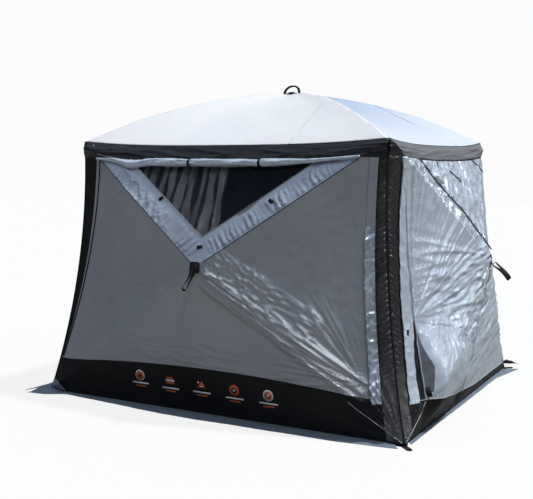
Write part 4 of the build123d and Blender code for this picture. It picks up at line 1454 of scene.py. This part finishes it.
# painted sheen: the right valance is grey, for the sun's sheen on its black cloth, with a plain black end
add_valance(RIGHT, BLACK_PAINTED_SHEEN, 0.100, 411, 0.125)
add_valance(BACK, BLACK_GLOSS, 0.105, 421)
add_valance(LEFT, BLACK_GLOSS, 0.105, 431)
add_window()
add_window_roll()
add_front_door()
add_right_door()
add_straps()
add_ground_flap()

# The hard parts keep their CAD shape and only get a finish.
FINISHES = {"_hub": PLASTIC, "upper_connectors": PLASTIC, "corner_feet": PLASTIC, "pivot_pins": STEEL,
            "_zip_slider": ZIP_METAL, "_pull_strap": WEBBING, "roof_handle": WEBBING}
for name, node in frame["nodes"].items():
    finish = POLE if "_pole_" in name else next((FINISHES[end] for end in FINISHES if name.endswith(end)), None)
    if finish:
        if not node.material_slots:
            node.data.materials.append(finish)
        for slot in node.material_slots:
            slot.material = finish


# ======== Camera, light and floor ========

EYE = (2.991, -6.155, 1.6255)
HEADING = 30.261           # degrees turned from +Y towards -X
TILT = -6.114              # degrees above the horizon
FOCAL = 62.86
SHIFT = (0.0872, 0.0197)
SUNS = (                   # name, direction towards it, strength, angle, colour
    ("key", (0.40, 0.20, 0.89), 2.75, 5.0, (1.0, 0.99, 0.97)),
    ("glint", (0.46, -0.50, 0.73), 0.36, 4.0, (1.0, 0.98, 0.95)),
    ("side", (0.875, 0.27, 0.385), 0.22, 3.0, (1.0, 0.99, 0.97)),
)


def place_in_scene(name, data):
    thing = bpy.data.objects.new(name, data)
    bpy.context.scene.collection.objects.link(thing)
    return thing


def add_camera():
    data = bpy.data.cameras.new("camera")
    data.sensor_width = 36.0
    data.lens = FOCAL
    data.shift_x, data.shift_y = SHIFT
    camera = place_in_scene("camera", data)
    camera.location = EYE
    camera.rotation_euler = Euler((radians(90 + TILT), 0, radians(HEADING)), "XYZ")
    bpy.context.scene.camera = camera


def add_suns():
    for name, towards, strength, angle, colour in SUNS:
        data = bpy.data.lights.new(name, "SUN")
        data.energy, data.angle, data.color = strength, radians(angle), colour
        place_in_scene(name, data).rotation_euler = Vector(towards).to_track_quat("Z", "Y").to_euler()


def mix_shaders(tree, factor, first, second):
    mix = add_node(tree, "MixShader", Fac=factor)
    tree.links.new(first, mix.inputs[1])
    tree.links.new(second, mix.inputs[2])
    return mix.outputs[0]


def seen_only(tree, seen, unseen):
    """One shader for the camera and another for the light that it gives the object."""
    return mix_shaders(tree, add_node(tree, "LightPath").outputs["Is Camera Ray"], unseen, seen)


def add_world():
    """A soft sky for the object's light, and white for the camera."""
    world = bpy.data.worlds.new("studio")
    bpy.context.scene.world = world
    world.use_nodes = True
    tree = world.node_tree
    height = add_node(tree, "SeparateXYZ", Vector=add_node(tree, "TexCoord").outputs["Generated"]).outputs["Z"]
    share = add_node(tree, "MapRange", Value=height, **{"From Min": -1.0}).outputs["Result"]
    sky = add_node(tree, "ValToRGB", Fac=share)
    bands = sky.color_ramp.elements
    bands[0].position, bands[0].color = 0.50, (0.025, 0.026, 0.030, 1)
    bands[1].position, bands[1].color = 1.0, (0.46, 0.54, 0.68, 1)
    bands.new(0.62).color = (0.095, 0.108, 0.130, 1)
    soft = add_node(tree, "Background", Color=sky.outputs["Color"], Strength=1.0).outputs[0]
    white = add_node(tree, "Background", Color=(0.97, 0.97, 0.97, 1), Strength=1.0).outputs[0]
    tree.links.new(seen_only(tree, white, soft), tree.nodes["World Output"].inputs["Surface"])


def add_floor():
    """White paper for the camera; a dim floor for the light that it throws back."""
    size = 30.0
    paper = Paint("paper_floor", (0.80, 0.80, 0.80), 0.9, 0.0, 0.1)
    dim = paper.node("BsdfDiffuse", 0, Color=(0.20, 0.19, 0.18, 1))
    glow = paper.node("Emission", 0, Strength=1.0, Color=(0.985, 0.985, 0.985, 1))
    veil = mix_shaders(paper.tree, 0.86, paper.shader.outputs[0], glow)
    output = paper.tree.nodes["Material Output"]
    paper.tree.links.new(seen_only(paper.tree, veil, dim), output.inputs["Surface"])
    points = [(-size, -size, 0), (size, -size, 0), (size, size, 0), (-size, size, 0)]
    floor = make_object("studio_floor", points, [[0, 1, 2, 3]], [paper.material], smooth=False)
    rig.stage(floor)


add_camera()
add_suns()
add_world()
add_floor()
bpy.context.scene.view_settings.view_transform = "Standard"

with open("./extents.json", "w") as sizes:
    json.dump({"cad": [list(p) for p in CAD_BOX], "visual": [list(p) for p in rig.bounds()]}, sizes)
